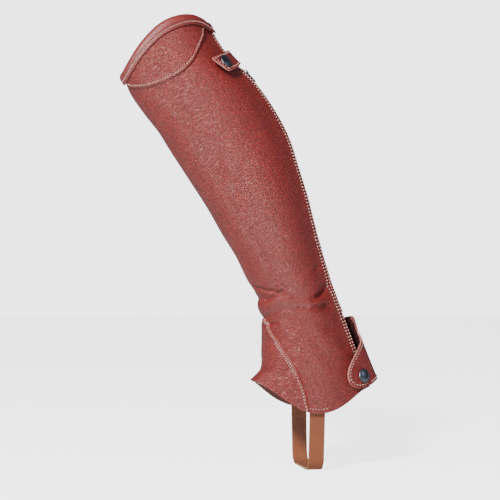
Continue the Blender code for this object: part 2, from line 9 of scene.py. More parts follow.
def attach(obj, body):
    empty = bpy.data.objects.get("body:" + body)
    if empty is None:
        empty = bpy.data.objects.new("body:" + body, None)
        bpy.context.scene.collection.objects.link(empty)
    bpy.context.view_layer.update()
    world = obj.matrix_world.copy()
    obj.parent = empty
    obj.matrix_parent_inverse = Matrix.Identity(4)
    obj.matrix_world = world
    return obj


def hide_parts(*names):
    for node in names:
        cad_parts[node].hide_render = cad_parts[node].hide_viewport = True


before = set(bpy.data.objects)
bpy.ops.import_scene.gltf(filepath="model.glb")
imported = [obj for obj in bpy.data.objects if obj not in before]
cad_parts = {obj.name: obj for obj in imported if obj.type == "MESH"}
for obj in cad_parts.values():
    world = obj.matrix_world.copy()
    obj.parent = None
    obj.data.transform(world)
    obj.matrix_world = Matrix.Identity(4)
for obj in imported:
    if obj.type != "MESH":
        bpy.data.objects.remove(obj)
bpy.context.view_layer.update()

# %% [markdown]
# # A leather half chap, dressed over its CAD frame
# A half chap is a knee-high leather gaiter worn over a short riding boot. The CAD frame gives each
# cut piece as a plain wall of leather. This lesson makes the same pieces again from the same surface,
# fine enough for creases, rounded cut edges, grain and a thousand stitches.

MM = 0.001

# %% [markdown]
# ## The leg's form
# Every piece lies on one surface, so it is written once. A place on it is a turn in degrees, 0 at the
# back, 90 on the outer side and 180 at the front, and a station, 0 at the top edge and 18 at the hem.
# The table is the CAD's own: sections down the leg, read as a smooth curve. A lattice or a sculpt would
# also do, but a table lets the stitches and the creases use the very surface that the leather has.

# %% The table of sections, in millimetres
Section = namedtuple("Section", "front_x front_z back_x back_z outer inner rise drop cover")
SECTIONS = [Section(*row) for row in (
    (-110.5, 60, -16, 107.5, 54, 52, 27.5, 0, 4.5),
    (-101, 42.5, -4, 88, 55, 53, 22.5, 0, 1.8),
    (-86.5, 21.5, 12, 71, 56.5, 54, 17, 0, 1.8),
    (-70, -1, 34.5, 51, 58, 55, 10, 0, 1.8),
    (-52.5, -26.5, 53, 26.5, 58, 56, 4, 0, 1.8),
    (-34.5, -53.5, 68.5, -1, 57, 56, 1, 0, 1.8),
    (-17, -80, 79, -31.5, 55, 54.5, 0, 0, 1.8),
    (-1, -107.5, 89, -62, 52, 52, 0, 0, 1.8),
    (13, -130, 96, -88, 48.5, 49, 0, 0, 1.8),
    (24.5, -153.5, 103.5, -114.5, 45, 46, 0, 0, 1.8),
    (34, -168.5, 108.5, -130.5, 43, 44, 0, 0, 1.8),
    (35.5, -179, 112.5, -143, 42, 43, 0, 0, 1.8),
    (38.5, -191, 117, -157, 41.5, 42.5, 0, 1, 2.6),
    (41, -201.5, 122.5, -171.5, 41.5, 42, 0, 3, 4.1),
    (41, -217.5, 130, -189.5, 42, 42, 0, 7, 4.1),
    (40.5, -233, 137, -208, 43, 42.5, 0, 12, 4.1),
    (40.5, -242, 144, -226, 44, 43, 0, 18, 4.1),
    (38, -252.5, 152, -246.5, 44.5, 43.5, 0, 22.5, 4.1),
    (27, -263, 160.5, -267, 45, 44, 0, 28, 4.1),
)]
STATIONS = len(SECTIONS) - 1
TABLE = np.array(SECTIONS)
LEATHER = 1.8            # the leg panel and the vamp
LENS_LEATHER = 1.5       # the pointed panel at the top
BAND_LEATHER = 1.5       # the rolled binding
FLAP_LEATHER = 2.2       # the heel flap and the snap tab, two layers glued
STRAP_LEATHER = 2.4
TAPE = 1.0
GAP = 0.35               # between pieces that are sewn together
LAID_GAP = 0.55          # under a piece that lies on another
ZIP_TURN = 12.0          # the zip runs a little to the outer side of the back
ZIP_HALF_GAP = 6.0
RIDGE = 8.5              # how far the leather is drawn out at the zip
RIDGE_SPREAD = 17.0
ARCH_ROUND = 0.02        # softens the arch of the top edge where it starts
ARCH_FULL = math.sqrt(1.0 + ARCH_ROUND) - math.sqrt(ARCH_ROUND)
FRONT_ARCH = 1.45
ARCH_LEAN = 0.32
INNER_RISE = 0.15        # the inner side's arch, as a share of the outer one's
HEM_FRONT = 3.3
HEM_BACK = 2.7
print("sections:", len(SECTIONS))

# %% A place on the plain leg
def spline(before, here, after, beyond, part):
    """A part of the way from here to after, on the smooth curve through four rows."""
    bend = 2 * before - 5 * here + 4 * after - beyond
    twist = 3 * here - before - 3 * after + beyond
    return 0.5 * (2 * here + (after - before) * part + bend * part ** 2 + twist * part ** 3)


def section_at(station):
    """The section table read at any station."""
    place = np.clip(np.asarray(station, float), 0.0, STATIONS)
    row = np.minimum(place.astype(int), STATIONS - 1)
    rows = [TABLE[np.clip(row + step, 0, STATIONS)] for step in (-1, 0, 1, 2)]
    return spline(*rows, (place - row)[..., None])


def plain_point(turn, station, ridge=RIDGE):
    """A point on the leather's inner face, with no folds, in millimetres."""
    columns = np.moveaxis(section_at(station), -1, 0)
    front_x, front_z, back_x, back_z, outer, inner, rise, drop, cover = columns
    length = np.hypot(back_x - front_x, back_z - front_z)
    along_x, along_z = (back_x - front_x) / length, (back_z - front_z) / length
    reach = (length - cover - RIDGE - LEATHER) / 2
    side, rear = np.sin(np.radians(turn)), np.cos(np.radians(turn))
    wrapped = (turn - ZIP_TURN + 180.0) % 360.0 - 180.0
    drawn = ridge * np.exp(-(wrapped / RIDGE_SPREAD) ** 2)
    arch = (np.sqrt(side ** 2 + ARCH_ROUND) - math.sqrt(ARCH_ROUND)) / ARCH_FULL
    raised = np.where(side > 0, rise, INNER_RISE * rise) * arch ** np.where(rear > 0, 1.0, FRONT_ARCH)
    lift = raised - drop * np.abs(side) ** np.where(rear > 0, HEM_BACK, HEM_FRONT)
    forward = cover + reach + reach * rear + drawn * math.cos(math.radians(ZIP_TURN)) + ARCH_LEAN * raised
    x = front_x + forward * along_x - lift * along_z
    z = front_z + forward * along_z + lift * along_x
    y = -np.where(side > 0, outer, inner) * side - drawn * math.sin(math.radians(ZIP_TURN))
    return np.stack([x, y, z], -1)


TURN_STEP = 0.5          # the small steps by which directions on the leg are measured
STATION_STEP = 0.04


def unit(vectors):
    return vectors / np.linalg.norm(vectors, axis=-1, keepdims=True)


def leg_frame(turn, station, ridge=RIDGE):
    """The point, outward normal, downward direction and millimetres a station at a place."""
    turn, station = np.broadcast_arrays(np.asarray(turn, float), np.asarray(station, float))
    low = np.clip(station - STATION_STEP, 0.0, STATIONS)
    high = np.clip(station + STATION_STEP, 0.0, STATIONS)
    around = plain_point(turn + TURN_STEP, station, ridge) - plain_point(turn - TURN_STEP, station, ridge)
    down = plain_point(turn, high, ridge) - plain_point(turn, low, ridge)
    scale = np.linalg.norm(down, axis=-1) / (high - low)
    return plain_point(turn, station, ridge), unit(np.cross(around, down)), unit(down), scale


def degrees_for(turn, station, width):
    """The turn in degrees that covers a width in millimetres at a place on the leg."""
    ends = plain_point(turn + TURN_STEP, station) - plain_point(turn - TURN_STEP, station)
    return width / (np.linalg.norm(ends, axis=-1) / (2 * TURN_STEP))


print("round the calf:", round(float(np.linalg.norm(np.diff(
    plain_point(np.linspace(0, 360, 181), 4.0), axis=0), axis=1).sum())), "mm")

# %% [markdown]
# ## Creases
# Leather that has been worn gives way in the same places each time: round the ankle, and a little behind the
# knee. Cloth simulation would find its own folds, and these have to be the ones that show, so each is given
# as a soft trough or ridge between two places on the leg. The first rows are the CAD's own, and the finer
# ones after them are this lesson's.

# %% The folds and creases
Fold = namedtuple("Fold", "turn station to_turn to_station width depth")
FOLDS = [Fold(*row) for row in (
    (180, 10.6, 128, 10.9, 0.42, -3.2),
    (176, 11.5, 120, 11.6, 0.45, 2.2),
    (176, 12.5, 140, 12.2, 0.4, -2.2),
    (112, 11.1, 76, 11.8, 0.45, -1.8),
    (66, 12.4, 34, 11.9, 0.5, -2.2),
    (104, 12.2, 70, 12.9, 0.55, 1.4),
    (96, 14.2, 60, 15, 0.7, 1.2),
    (184, 10.6, 236, 10.9, 0.42, -3),
    (186, 12.4, 224, 12.2, 0.42, -2),
    (250, 11.2, 286, 11.9, 0.45, -1.8),
    (296, 12.5, 324, 12, 0.5, -2),
    (176, 3, 150, 3.3, 0.55, -1.3),
)]
CREASES = [Fold(*row) for row in (
    # outer side, where the ankle bends
    (174, 9.35, 120, 10.55, 0.17, -1.2),
    (154, 10.75, 104, 10.3, 0.17, -1.3),
    (152, 11.2, 108, 11.35, 0.24, 1.3),
    (124, 11.85, 91, 12.45, 0.22, -1),
    (98, 12.3, 62, 12.96, 0.18, -1.2),
    (64, 12.96, 38, 13.15, 0.18, -1.5),
    (70, 12.15, 44, 12.1, 0.2, -1.2),
    (48, 12.1, 26, 11.9, 0.2, -1.3),
    (84, 12.45, 52, 12.52, 0.2, 0.9),
    (178, 13.1, 147, 13.08, 0.15, -1.2),
    (140, 12.7, 112, 13.1, 0.2, -0.5),
    (132, 13.6, 100, 14.4, 0.34, 0.8),
    (110, 14.35, 115, 16.3, 0.5, 1),
    (88, 14.2, 70, 15.9, 0.3, -0.6),
    (74, 13.6, 44, 14.3, 0.3, -0.7),
    (60, 14.7, 40, 16.2, 0.34, 0.5),
    (100, 9.2, 62, 9.9, 0.3, -0.5),
    (120, 8.4, 86, 9.1, 0.35, 0.4),
    (60, 10.3, 34, 10.1, 0.26, -0.6),
    # inner side, uneven in the same way
    (194, 9.6, 222, 10.3, 0.2, -0.9),
    (208, 10.8, 246, 10.55, 0.2, -0.8),
    (212, 11.3, 258, 11.25, 0.26, 1),
    (236, 11.9, 270, 12.5, 0.22, -1.1),
    (268, 12.45, 300, 12.9, 0.2, -1.2),
    (290, 12.1, 322, 11.95, 0.2, -1.2),
    (280, 12.6, 306, 12.4, 0.2, 0.8),
    (230, 13.7, 262, 14.6, 0.34, 0.8),
    (286, 13.7, 314, 14.5, 0.3, -0.7),
    (262, 9.3, 298, 9.8, 0.3, -0.5),
    # the calf, where the leather has eased behind and below the arch
    (184, 2.6, 136, 2.72, 0.5, -0.6),
    (185, 3.1, 166, 3.5, 0.22, -0.5),
    (150, 4.6, 110, 5.2, 0.6, -0.4),
    (78, 3.6, 48, 4.4, 0.5, -0.4),
    (196, 3, 240, 3.4, 0.5, -0.7),
    (300, 3.8, 326, 4.4, 0.45, -0.5),
)]

TURNS_A_STATION = 25.0   # the degrees round that count as far as one station down
FOLD_END = 0.35          # a fold's depth at its ends, as a share of its depth
CREASE_DEPTH = 2.2       # multiplies the finer creases, so that they show in raking light


def fold_depth(turn, station, folds):
    """How far these folds push the leather out of its plain form, in millimetres."""
    turn, station = np.broadcast_arrays(turn % 360.0, station)
    depth = np.zeros(turn.shape)
    for fold in folds:
        along = np.array([(fold.to_turn - fold.turn) / TURNS_A_STATION, fold.to_station - fold.station])
        off_turn, off_station = (turn - fold.turn) / TURNS_A_STATION, station - fold.station
        place = np.clip((off_turn * along[0] + off_station * along[1]) / along.dot(along), 0.0, 1.0)
        away = (off_turn - place * along[0]) ** 2 + (off_station - place * along[1]) ** 2
        taper = FOLD_END + (1.0 - FOLD_END) * np.sin(math.pi * np.clip(place, 0.08, 0.92))
        depth = depth + fold.depth * taper * np.exp(-away / fold.width ** 2)
    return depth


def unevenness(turn, station):
    """The slow waviness of a hide that isn't quite tight on the leg, in millimetres."""
    around = np.radians(turn)
    slow = np.sin(3 * around + 0.9 * station) * np.sin(0.7 * station + 1.3)
    quick = np.sin(7 * around - 1.7 * station + 0.6) * np.sin(1.9 * station + 2.0 * around)
    return 0.22 * slow + 0.10 * quick


def leg_point(turn, station, out):
    """A point that lies `out` millimetres outside the leg, folds, creases and all."""
    turn, station, out = np.broadcast_arrays(*(np.asarray(v, float) for v in (turn, station, out)))
    point, normal, _, _ = leg_frame(turn, station)
    pushed = fold_depth(turn, station, FOLDS) + CREASE_DEPTH * fold_depth(turn, station, CREASES)
    return point + normal * (out + pushed + unevenness(turn, station))[..., None]


def bridge_point(turn, station, out):
    """A point on a strap that bridges the zip: outside the leg without its ridge or its folds."""
    point, normal, _, _ = leg_frame(turn, station, 0.0)
    return point + normal * np.asarray(out, float)[..., None]


print("folds from the CAD:", len(FOLDS), "finer creases:", len(CREASES))

# %% [markdown]
# ## From a grid of points to a piece of leather
# A cut piece is a skin with a thickness. Each one here starts as a grid of outer-face points, rows down
# the leg and columns round it, so that its faces look outward. Solidify gives the thickness and Bevel
# rounds the cut edge. The mesh also carries two numbers at each point, the distance from the sewn edge
# and the place along it, so that the finish can pucker the leather at every stitch.

# %% Objects, rounded edges and walls
def mesh_object(name, points, faces=(), edges=(), materials=()):
    """A new object in the scene, from points in metres."""
    mesh = bpy.data.meshes.new(name)
    mesh.from_pydata(points, edges, faces)
    for material in materials:
        mesh.materials.append(material)
    return new_object(name, mesh)


def new_object(name, data):
    item = bpy.data.objects.new(name, data)
    bpy.context.scene.collection.objects.link(item)
    return item


def plain_mesh(item):
    """The object with its mesh as its modifiers leave it, and the modifiers gone."""
    bpy.context.view_layer.update()
    made = bpy.data.meshes.new_from_object(item.evaluated_get(bpy.context.evaluated_depsgraph_get()))
    item.modifiers.clear()
    old, item.data = item.data, made
    made.name = item.name
    bpy.data.meshes.remove(old)
    return item


def round_edges(item, width, segments, limit, sharp):
    """Rounds an object's corners, and shades it smooth but for what is sharp, in degrees."""
    bevel = item.modifiers.new("Rounded edge", "BEVEL")
    bevel.width, bevel.segments = width * MM, segments
    bevel.limit_method, bevel.angle_limit = "ANGLE", math.radians(limit)
    plain_mesh(item)
    item.data.shade_smooth()
    item.data.set_sharp_from_angle(angle=math.radians(sharp))
    return item


def step_lengths(grid, axis):
    """The running length along a grid's rows (axis 1) or columns (axis 0), in millimetres."""
    steps = np.linalg.norm(np.diff(grid, axis=axis), axis=-1)
    start = np.zeros_like(np.take(steps, [0], axis=axis))
    return np.concatenate([start, np.cumsum(steps, axis=axis)], axis=axis)


def border_distance(grid, sides):
    """How far each point of a grid is from the named borders, and its place along them."""
    across, down = step_lengths(grid, 1), step_lengths(grid, 0)
    found = {"left": (across, down), "right": (across[:, -1:] - across, down),
             "top": (down, across), "bottom": (down[-1:, :] - down, across)}
    nearest, along = np.full(grid.shape[:2], 99.0), np.zeros(grid.shape[:2])
    for away, place in (found[side] for side in sides):
        along = np.where(away < nearest, place, along)
        nearest = np.minimum(away, nearest)
    return nearest, along


def note_cut(name, grid):
    width, length = step_lengths(grid, 1)[:, -1].max() * MM, step_lengths(grid, 0)[-1, :].max() * MM


def leather_piece(name, sheets, thickness, materials, round_edge=0.35,
                  rests_on="leather_leg_panel", shared=None):
    """A piece from grids of its face, each with its sewn borders; `shared` rows join two grids.
    The materials are its face, its flesh side and its cut edge."""
    note_cut(name, np.concatenate([sheets[0][0]] + [grid[:, 1:] for grid, _ in sheets[1:]], axis=1))
    points, faces, numbers, start, before = [], [], [], 0, None
    for grid, sewn in sheets:
        index = start + np.arange(grid[..., 0].size).reshape(grid.shape[:2])
        if start:
            index[shared, 0] = before[shared, -1]
        corners = np.stack([index[:-1, :-1], index[:-1, 1:], index[1:, 1:], index[1:, :-1]], -1)
        faces.append(corners.reshape(-1, 4))
        points.append(grid.reshape(-1, 3))
        numbers.append(np.reshape(border_distance(grid, sewn), (2, -1)))
        start, before = start + grid[..., 0].size, index
    faces = np.concatenate(faces)
    used, place = np.unique(faces, return_inverse=True)
    points = np.concatenate(points)[used] * MM
    item = mesh_object(name, points.tolist(), place.reshape(faces.shape).tolist(), materials=materials)
    for label, values in zip(("edge_mm", "along_mm"), np.concatenate(numbers, 1)[:, used]):
        numbered = item.data.attributes.new(label, "FLOAT", "POINT")
        numbered.data.foreach_set("value", values.astype(np.float32))
    item.data.shade_smooth()
    wall = item.modifiers.new("Wall", "SOLIDIFY")
    wall.thickness, wall.offset = thickness * MM, -1.0
    wall.material_offset, wall.material_offset_rim = 1, 2
    return round_edges(item, round_edge, 2, 50, 50)


print("helpers for pieces ready")

# %% [markdown]
# ## Edges as smooth curves
# The vamp, the pointed panel and the heel flap have curved outlines, each known at a few places.
# A curve object could hold them, but then the leather between wouldn't know where its edge is. Here
# the tables are rounded off once and read by everything that follows the edge, stitches included.

# %% Edge tables and how they are read
EdgePoint = namedtuple("EdgePoint", "station turn")
VAMP_EDGE = [EdgePoint(*row) for row in (
    (12.45, 175), (13.05, 166), (13.75, 151), (14.35, 138), (15.2, 125), (16.65, 113), (17.4, 105),
    (18, 98),
)]
VAMP_OVERLAP = 9.0
LensPoint = namedtuple("LensPoint", "turn station")
LENS_EDGE = [LensPoint(*row) for row in (
    (178, 0.45), (168, 0.78), (156, 1.1), (143, 1.42), (131, 1.63), (119, 1.77), (106, 1.84), (95, 1.81),
    (83, 1.66), (70, 1.37), (53, 0.92), (42, 0.56), (36, 0.4),
)]
LENS_TOP = 0.18
FLAP_EDGE = [EdgePoint(*row) for row in (
    (14.35, 16), (14.7, 9), (15.1, 5), (15.5, 5), (15.8, 12), (16, 22), (16.2, 32), (16.4, 43),
    (16.65, 50), (16.95, 52), (17.25, 50), (17.5, 44.5), (17.75, 36), (17.95, 25),
)]


def rounded(rows):
    """An edge table as a smooth run of points through its rows."""
    points = np.array(rows, float)
    padded = np.concatenate([2 * points[:1] - points[1:2], points, 2 * points[-1:] - points[-2:-1]])
    parts = np.linspace(0.0, 1.0, 8, endpoint=False)
    run = [spline(*four, part) for four in zip(padded, padded[1:], padded[2:], padded[3:]) for part in parts]
    return np.array(run + [points[-1]])


def read_edge(run, place, by=0):
    """The other column of a rounded edge, read at a place in column `by`."""
    order = np.argsort(run[:, by])
    return np.interp(place, run[order, by], run[order, 1 - by])


VAMP_RUN = rounded(VAMP_EDGE)
LENS_RUN = rounded(LENS_EDGE)
FLAP_RUN = rounded(FLAP_EDGE)
print("rounded edges:", len(VAMP_RUN), len(LENS_RUN), len(FLAP_RUN), "points")

# %% [markdown]
# ## Finishes that several materials share
# Real leather isn't one colour or one smoothness. Its grain is a pattern of small pebbles, drawn out
# into wrinkles round the leg; its dye is uneven; and it puckers at each stitch. Each of these is a
# shader group here, with named inputs, so that every leather piece can have it in its own measure.
# Image textures would fix the detail at one size, and these patterns stay sharp at any distance.

# %% Helpers for wiring nodes
class Wiring:
    """A node tree, with a short call for each kind of node that the lesson repeats."""

    def __init__(self, tree):
        self.tree = tree

    def put(self, node, values):
        """Links or sets a node's inputs, by name or number, and gives its outputs."""
        for label, value in values.items():
            if isinstance(value, bpy.types.NodeSocket):
                self.tree.links.new(value, node.inputs[label])
            else:
                node.inputs[label].default_value = value
        return node.outputs

    def add(self, kind, values=None, **settings):
        """Adds a node of this kind, with its settings and inputs, and gives its outputs."""
        node = self.tree.nodes.new(kind)
        for label, value in settings.items():
            setattr(node, label, value)
        return self.put(node, values or {})

    def group(self, made, **values):
        """Adds a shader group; an input's name has _ for each space."""
        values = {label.replace("_", " "): value for label, value in values.items()}
        return self.add("ShaderNodeGroup", values, node_tree=made)

    def math(self, operation, *values, clamp=False):
        return self.add("ShaderNodeMath", dict(enumerate(values)), operation=operation, use_clamp=clamp)[0]

    def vector(self, operation, *values):
        return self.add("ShaderNodeVectorMath", dict(enumerate(values)), operation=operation)[0]

    def xyz(self, x=0.0, y=0.0, z=0.0):
        return self.add("ShaderNodeCombineXYZ", {"X": x, "Y": y, "Z": z})[0]

    def mix(self, factor, first, second):
        """Two colours mixed by a factor."""
        return self.add("ShaderNodeMix", {0: factor, 6: first, 7: second}, data_type="RGBA")[2]

    def ramp(self, value, low, high):
        """A value spread from low..high to 0..1, with soft ends."""
        return self.add("ShaderNodeMapRange", {"Value": value, "From Min": low, "From Max": high},
                        interpolation_type="SMOOTHSTEP")[0]

    def beside(self, value, middle, low, high):
        """1 where a value is near this middle, fading to 0 between two distances from it."""
        away = self.math("ABSOLUTE", self.math("SUBTRACT", value, middle))
        return self.math("SUBTRACT", 1.0, self.ramp(away, low, high))

    def place(self):
        """The object's own coordinates, which don't move when a body does."""
        return self.add("ShaderNodeTexCoord")["Object"]

    def number(self, name):
        """A number that each point of the piece carries."""
        return self.add("ShaderNodeAttribute", attribute_name=name)["Fac"]

    def named(self, name, data_type):
        """The same for a Geometry Nodes tree, of any kind."""
        return self.add("GeometryNodeInputNamedAttribute", {"Name": name}, data_type=data_type)["Attribute"]

    def noise(self, place, scale, detail=2.0, roughness=0.5, out="Fac"):
        return self.add("ShaderNodeTexNoise", {"Vector": place, "Scale": scale, "Detail": detail,
                                               "Roughness": roughness})[out]

    def bump(self, height, strength, distance, under=None):
        """A normal from a height in metres, on top of another normal if one is given."""
        values = {"Height": height, "Strength": strength, "Distance": distance}
        return self.add("ShaderNodeBump", values if under is None else {**values, "Normal": under})[0]


def new_tree(name, kind, inputs, outputs):
    """A node tree whose sockets take their kind from a first value, or from a kind's name."""
    tree = bpy.data.node_groups.new(name, kind)
    for way, sockets in (("INPUT", inputs), ("OUTPUT", outputs)):
        for label, value in sockets.items():
            size = len(value) if isinstance(value, tuple) else type(value)
            kind_of = {int: "Int", float: "Float", 3: "Vector", 4: "Color"}.get(size, value)
            socket = tree.interface.new_socket(label, in_out=way, socket_type=f"NodeSocket{kind_of}")
            if way == "INPUT" and kind_of != value:
                socket.default_value = value
    return Wiring(tree), tree.nodes.new("NodeGroupInput").outputs, tree.nodes.new("NodeGroupOutput")


print("node helpers ready")

# %% [markdown]
# ## Pebble grain
# Under a lens, full-grain calf is a floor of soft pebbles a millimetre or two wide. On a leg they are
# squeezed along its length, which draws them into fine wrinkles round it. The group turns the object's
# own coordinates to the leg's lean, squeezes them along it and lays a cell pattern, long wrinkles and
# pores over one another.

# %% The pebble grain group
LEG_LEAN = math.radians(27.0)
STIR = 0.0024            # metres by which the cells are nudged, so that they don't line up
FINER = 2.3              # how many small pebbles there are across a large one
SMALL_SHARE = 0.20
DRAWN = 2.6              # how much longer the long wrinkles are than the pebbles


def build_pebble_grain():
    tree, given, outlet = new_tree(
        "pebble_grain", "ShaderNodeTree",
        {"Vector": (0.0, 0.0, 0.0), "Cells per metre": 190.0, "Squeeze": 2.3, "Wrinkle": 0.5, "Pores": 0.2},
        {"Height": 0.0, "Pits": 0.0})
    turned = tree.add("ShaderNodeVectorRotate", {"Vector": given["Vector"], "Angle": LEG_LEAN},
                      rotation_type="Y_AXIS")[0]
    squeezed = tree.vector("MULTIPLY", turned, tree.xyz(1.0, 1.0, given["Squeeze"]))
    stir = tree.vector("SUBTRACT", tree.noise(squeezed, 110.0, 1.0, out="Color"), (0.5, 0.5, 0.5))
    stirred = tree.vector("MULTIPLY_ADD", stir, (STIR, STIR, STIR), squeezed)

    def pebbles(per_metre, width):
        """Cells that are flat on top and round off toward their borders."""
        away = tree.add("ShaderNodeTexVoronoi", {"Vector": stirred, "Scale": per_metre, "Randomness": 1.0},
                        feature="DISTANCE_TO_EDGE")["Distance"]
        return tree.ramp(away, 0.0, width)

    large = pebbles(given["Cells per metre"], 0.28)
    small = pebbles(tree.math("MULTIPLY", given["Cells per metre"], FINER), 0.32)
    pebble = tree.math("MULTIPLY_ADD", small, SMALL_SHARE, tree.math("MULTIPLY", large, 1.0 - SMALL_SHARE))
    wrinkles = tree.noise(tree.vector("MULTIPLY", squeezed, (1.0, 1.0, DRAWN)), 115.0, 3.0, 0.55)
    valley = tree.ramp(tree.math("ABSOLUTE", tree.math("MULTIPLY_ADD", wrinkles, 2.0, -1.0)), 0.0, 0.22)
    height = tree.math("MULTIPLY_ADD", valley, given["Wrinkle"], pebble)
    height = tree.math("MULTIPLY_ADD", tree.noise(stirred, 1900.0), given["Pores"], height)
    crowns = tree.math("MULTIPLY", pebble, tree.math("MULTIPLY_ADD", valley, 0.5, 0.5))
    tree.put(outlet, {"Height": height, "Pits": tree.math("SUBTRACT", 1.0, crowns)})
    return tree.tree


PEBBLE_GRAIN = build_pebble_grain()
print("group:", PEBBLE_GRAIN.name, len(PEBBLE_GRAIN.nodes), "nodes")

# %% [markdown]
# ## Dye and wear
# The dye sinks deeper in some places than in others, gathers in the pits of the grain, and rubs thin along
# edges and in flecks. The same group also darkens a line between two rows of stitches, which is painted shade
# for the groove there. Pointiness would find the crowns of the folds, but it reads the mesh and the export
# can't, so the group works from noise and from the distance to the edge that each point carries.

# %% The dyed hide group
NO_ROW = -9.0            # the distance of a line or a row that isn't there
CLOUDED = 0.28           # how far the dye's clouds go toward its deep colour
IN_PITS = 0.90           # and how far its pits do; the next, how far the painted groove shade between two stitch rows does
SHADE_IN_LINE = 0.95
FLECKED = 0.45           # the flecks' wear, as a share of the edges'
PITS_DULL = 0.16         # what pits and clouds add to the roughness
CLOUDS_DULL = 0.22


def build_dyed_hide():
    tree, given, outlet = new_tree(
        "dyed_hide_and_shade", "ShaderNodeTree",
        {"Vector": (0.0, 0.0, 0.0), "Hide": (0.25, 0.04, 0.04, 1.0), "Deep": (0.08, 0.01, 0.02, 1.0),
         "Rubbed": (0.5, 0.15, 0.13, 1.0), "Pits": 0.0, "Edge mm": 10.0, "Roughness": 0.4, "Wear": 0.5,
         "Line mm": NO_ROW},
        {"Color": (0.0, 0.0, 0.0, 1.0), "Roughness": 0.0})
    clouds = tree.noise(given["Vector"], 17.0, 3.0)
    uneven = tree.math("MULTIPLY", tree.ramp(clouds, 0.35, 0.75), CLOUDED)
    colour = tree.mix(uneven, given["Hide"], given["Deep"])
    # painted shade: the colour darkens along a line between two stitch rows, standing for the shadow in the
    # groove there
    line = tree.math("MULTIPLY", tree.beside(given["Edge mm"], given["Line mm"], 0.25, 0.75), SHADE_IN_LINE)
    gathered = tree.math("MAXIMUM", tree.math("MULTIPLY", given["Pits"], IN_PITS), line)
    colour = tree.mix(gathered, colour, given["Deep"])
    flecks = tree.ramp(tree.noise(given["Vector"], 160.0, 4.0), 0.56, 0.80)
    flecks = tree.math("MULTIPLY", flecks, FLECKED)
    worn = tree.math("MAXIMUM", tree.beside(given["Edge mm"], 0.0, 0.2, 1.6), flecks)
    rubbed = tree.math("MULTIPLY", worn, given["Wear"], clamp=True)
    dull = tree.math("MULTIPLY_ADD", given["Pits"], PITS_DULL, given["Roughness"])
    dull = tree.math("MULTIPLY_ADD", tree.math("SUBTRACT", clouds, 0.5), CLOUDS_DULL, dull)
    tree.put(outlet, {"Color": tree.mix(rubbed, colour, given["Rubbed"]), "Roughness": dull})
    return tree.tree


DYED_HIDE_AND_SHADE = build_dyed_hide()
print("group:", DYED_HIDE_AND_SHADE.name)

# %% [markdown]
# ## Puckers at the stitches
# A stitch pulls the leather into a shallow dip and leaves it standing between. A mesh fine enough for
# that would be enormous, so the dip is a bump, placed by the two numbers that each point carries.

# %% The stitch pull group
def build_stitch_pull():
    tree, given, outlet = new_tree(
        "stitch_pull", "ShaderNodeTree",
        {"Edge mm": 10.0, "Along mm": 0.0, "Row mm": 2.2, "Second row mm": NO_ROW, "Pitch mm": 3.2},
        {"Height": 0.0})
    places = tree.math("DIVIDE", given["Along mm"], given["Pitch mm"])
    waves = tree.math("COSINE", tree.math("MULTIPLY", places, math.tau))
    dips = [tree.beside(given["Edge mm"], given[row], 0.0, 1.7) for row in ("Row mm", "Second row mm")]
    depth = tree.math("MULTIPLY_ADD", waves, 0.3, -0.7)
    tree.put(outlet, {"Height": tree.math("MULTIPLY", tree.math("MAXIMUM", *dips), depth)})
    return tree.tree


STITCH_PULL = build_stitch_pull()
print("group:", STITCH_PULL.name)

# %% [markdown]
# ## The leathers
# One function makes every leather face, with its own dye, gloss and grain. The Principled shader stays
# in the material and its steady values, such as the sheen, are set on its own sockets.

# %% Leather materials
OXBLOOD = (0.350, 0.019, 0.013, 1.0)
OXBLOOD_DEEP = (0.115, 0.004, 0.005, 1.0)
OXBLOOD_RUBBED = (0.520, 0.080, 0.055, 1.0)
GRAIN_DEEP = 0.00050     # metres from pit to crown, more than real so that it shows from two metres


def new_finish(name):
    """A material, its wiring and its Principled shader."""
    material = bpy.data.materials.new(name)
    material.use_nodes = True
    return material, Wiring(material.node_tree), material.node_tree.nodes["Principled BSDF"]


def leather_face(name, hide=OXBLOOD, deep=OXBLOOD_DEEP, rubbed=OXBLOOD_RUBBED, roughness=0.40, wear=0.4,
                 cells=215.0, squeeze=3.0, wrinkle=1.10, relief=0.85, row=2.2, second=NO_ROW, pitch=3.2,
                 line=NO_ROW):
    """The grain side of a piece of leather; its line is painted shade along a groove, that far in from the
    edge.
    """
    material, tree, shader = new_finish(name)
    place, edge = tree.place(), tree.number("edge_mm")
    grain = tree.group(PEBBLE_GRAIN, Vector=place, Cells_per_metre=cells, Squeeze=squeeze, Wrinkle=wrinkle)
    dye = tree.group(DYED_HIDE_AND_SHADE, Vector=place, Hide=hide, Deep=deep, Rubbed=rubbed, Pits=grain["Pits"],
                     Edge_mm=edge, Roughness=roughness, Wear=wear, Line_mm=line)
    pull = tree.group(STITCH_PULL, Edge_mm=edge, Along_mm=tree.number("along_mm"), Row_mm=row,
                      Second_row_mm=second, Pitch_mm=pitch)
    puckered = tree.bump(pull["Height"], 0.8, 0.0005)
    tree.put(shader, {"Base Color": dye["Color"], "Roughness": dye["Roughness"], "Specular IOR Level": 0.6,
                      "Normal": tree.bump(grain["Height"], relief, GRAIN_DEEP, puckered)})
    return material


def flesh_face(name, colour, dark, sheen=0.25):
    """The napped inside of a piece of leather."""
    material, tree, shader = new_finish(name)
    place = tree.place()
    nap = tree.noise(place, 900.0, 5.0, 0.7)
    patches = tree.math("MULTIPLY", tree.noise(place, 45.0, 3.0), 0.5)
    shade = tree.math("MULTIPLY_ADD", nap, 0.6, patches, clamp=True)
    tree.put(shader, {"Base Color": tree.mix(shade, dark, colour),
                      "Roughness": tree.math("MULTIPLY_ADD", nap, 0.12, 0.80),
                      "Normal": tree.bump(nap, 0.6, 0.0004), "Sheen Weight": sheen, "Sheen Roughness": 0.5})
    return material


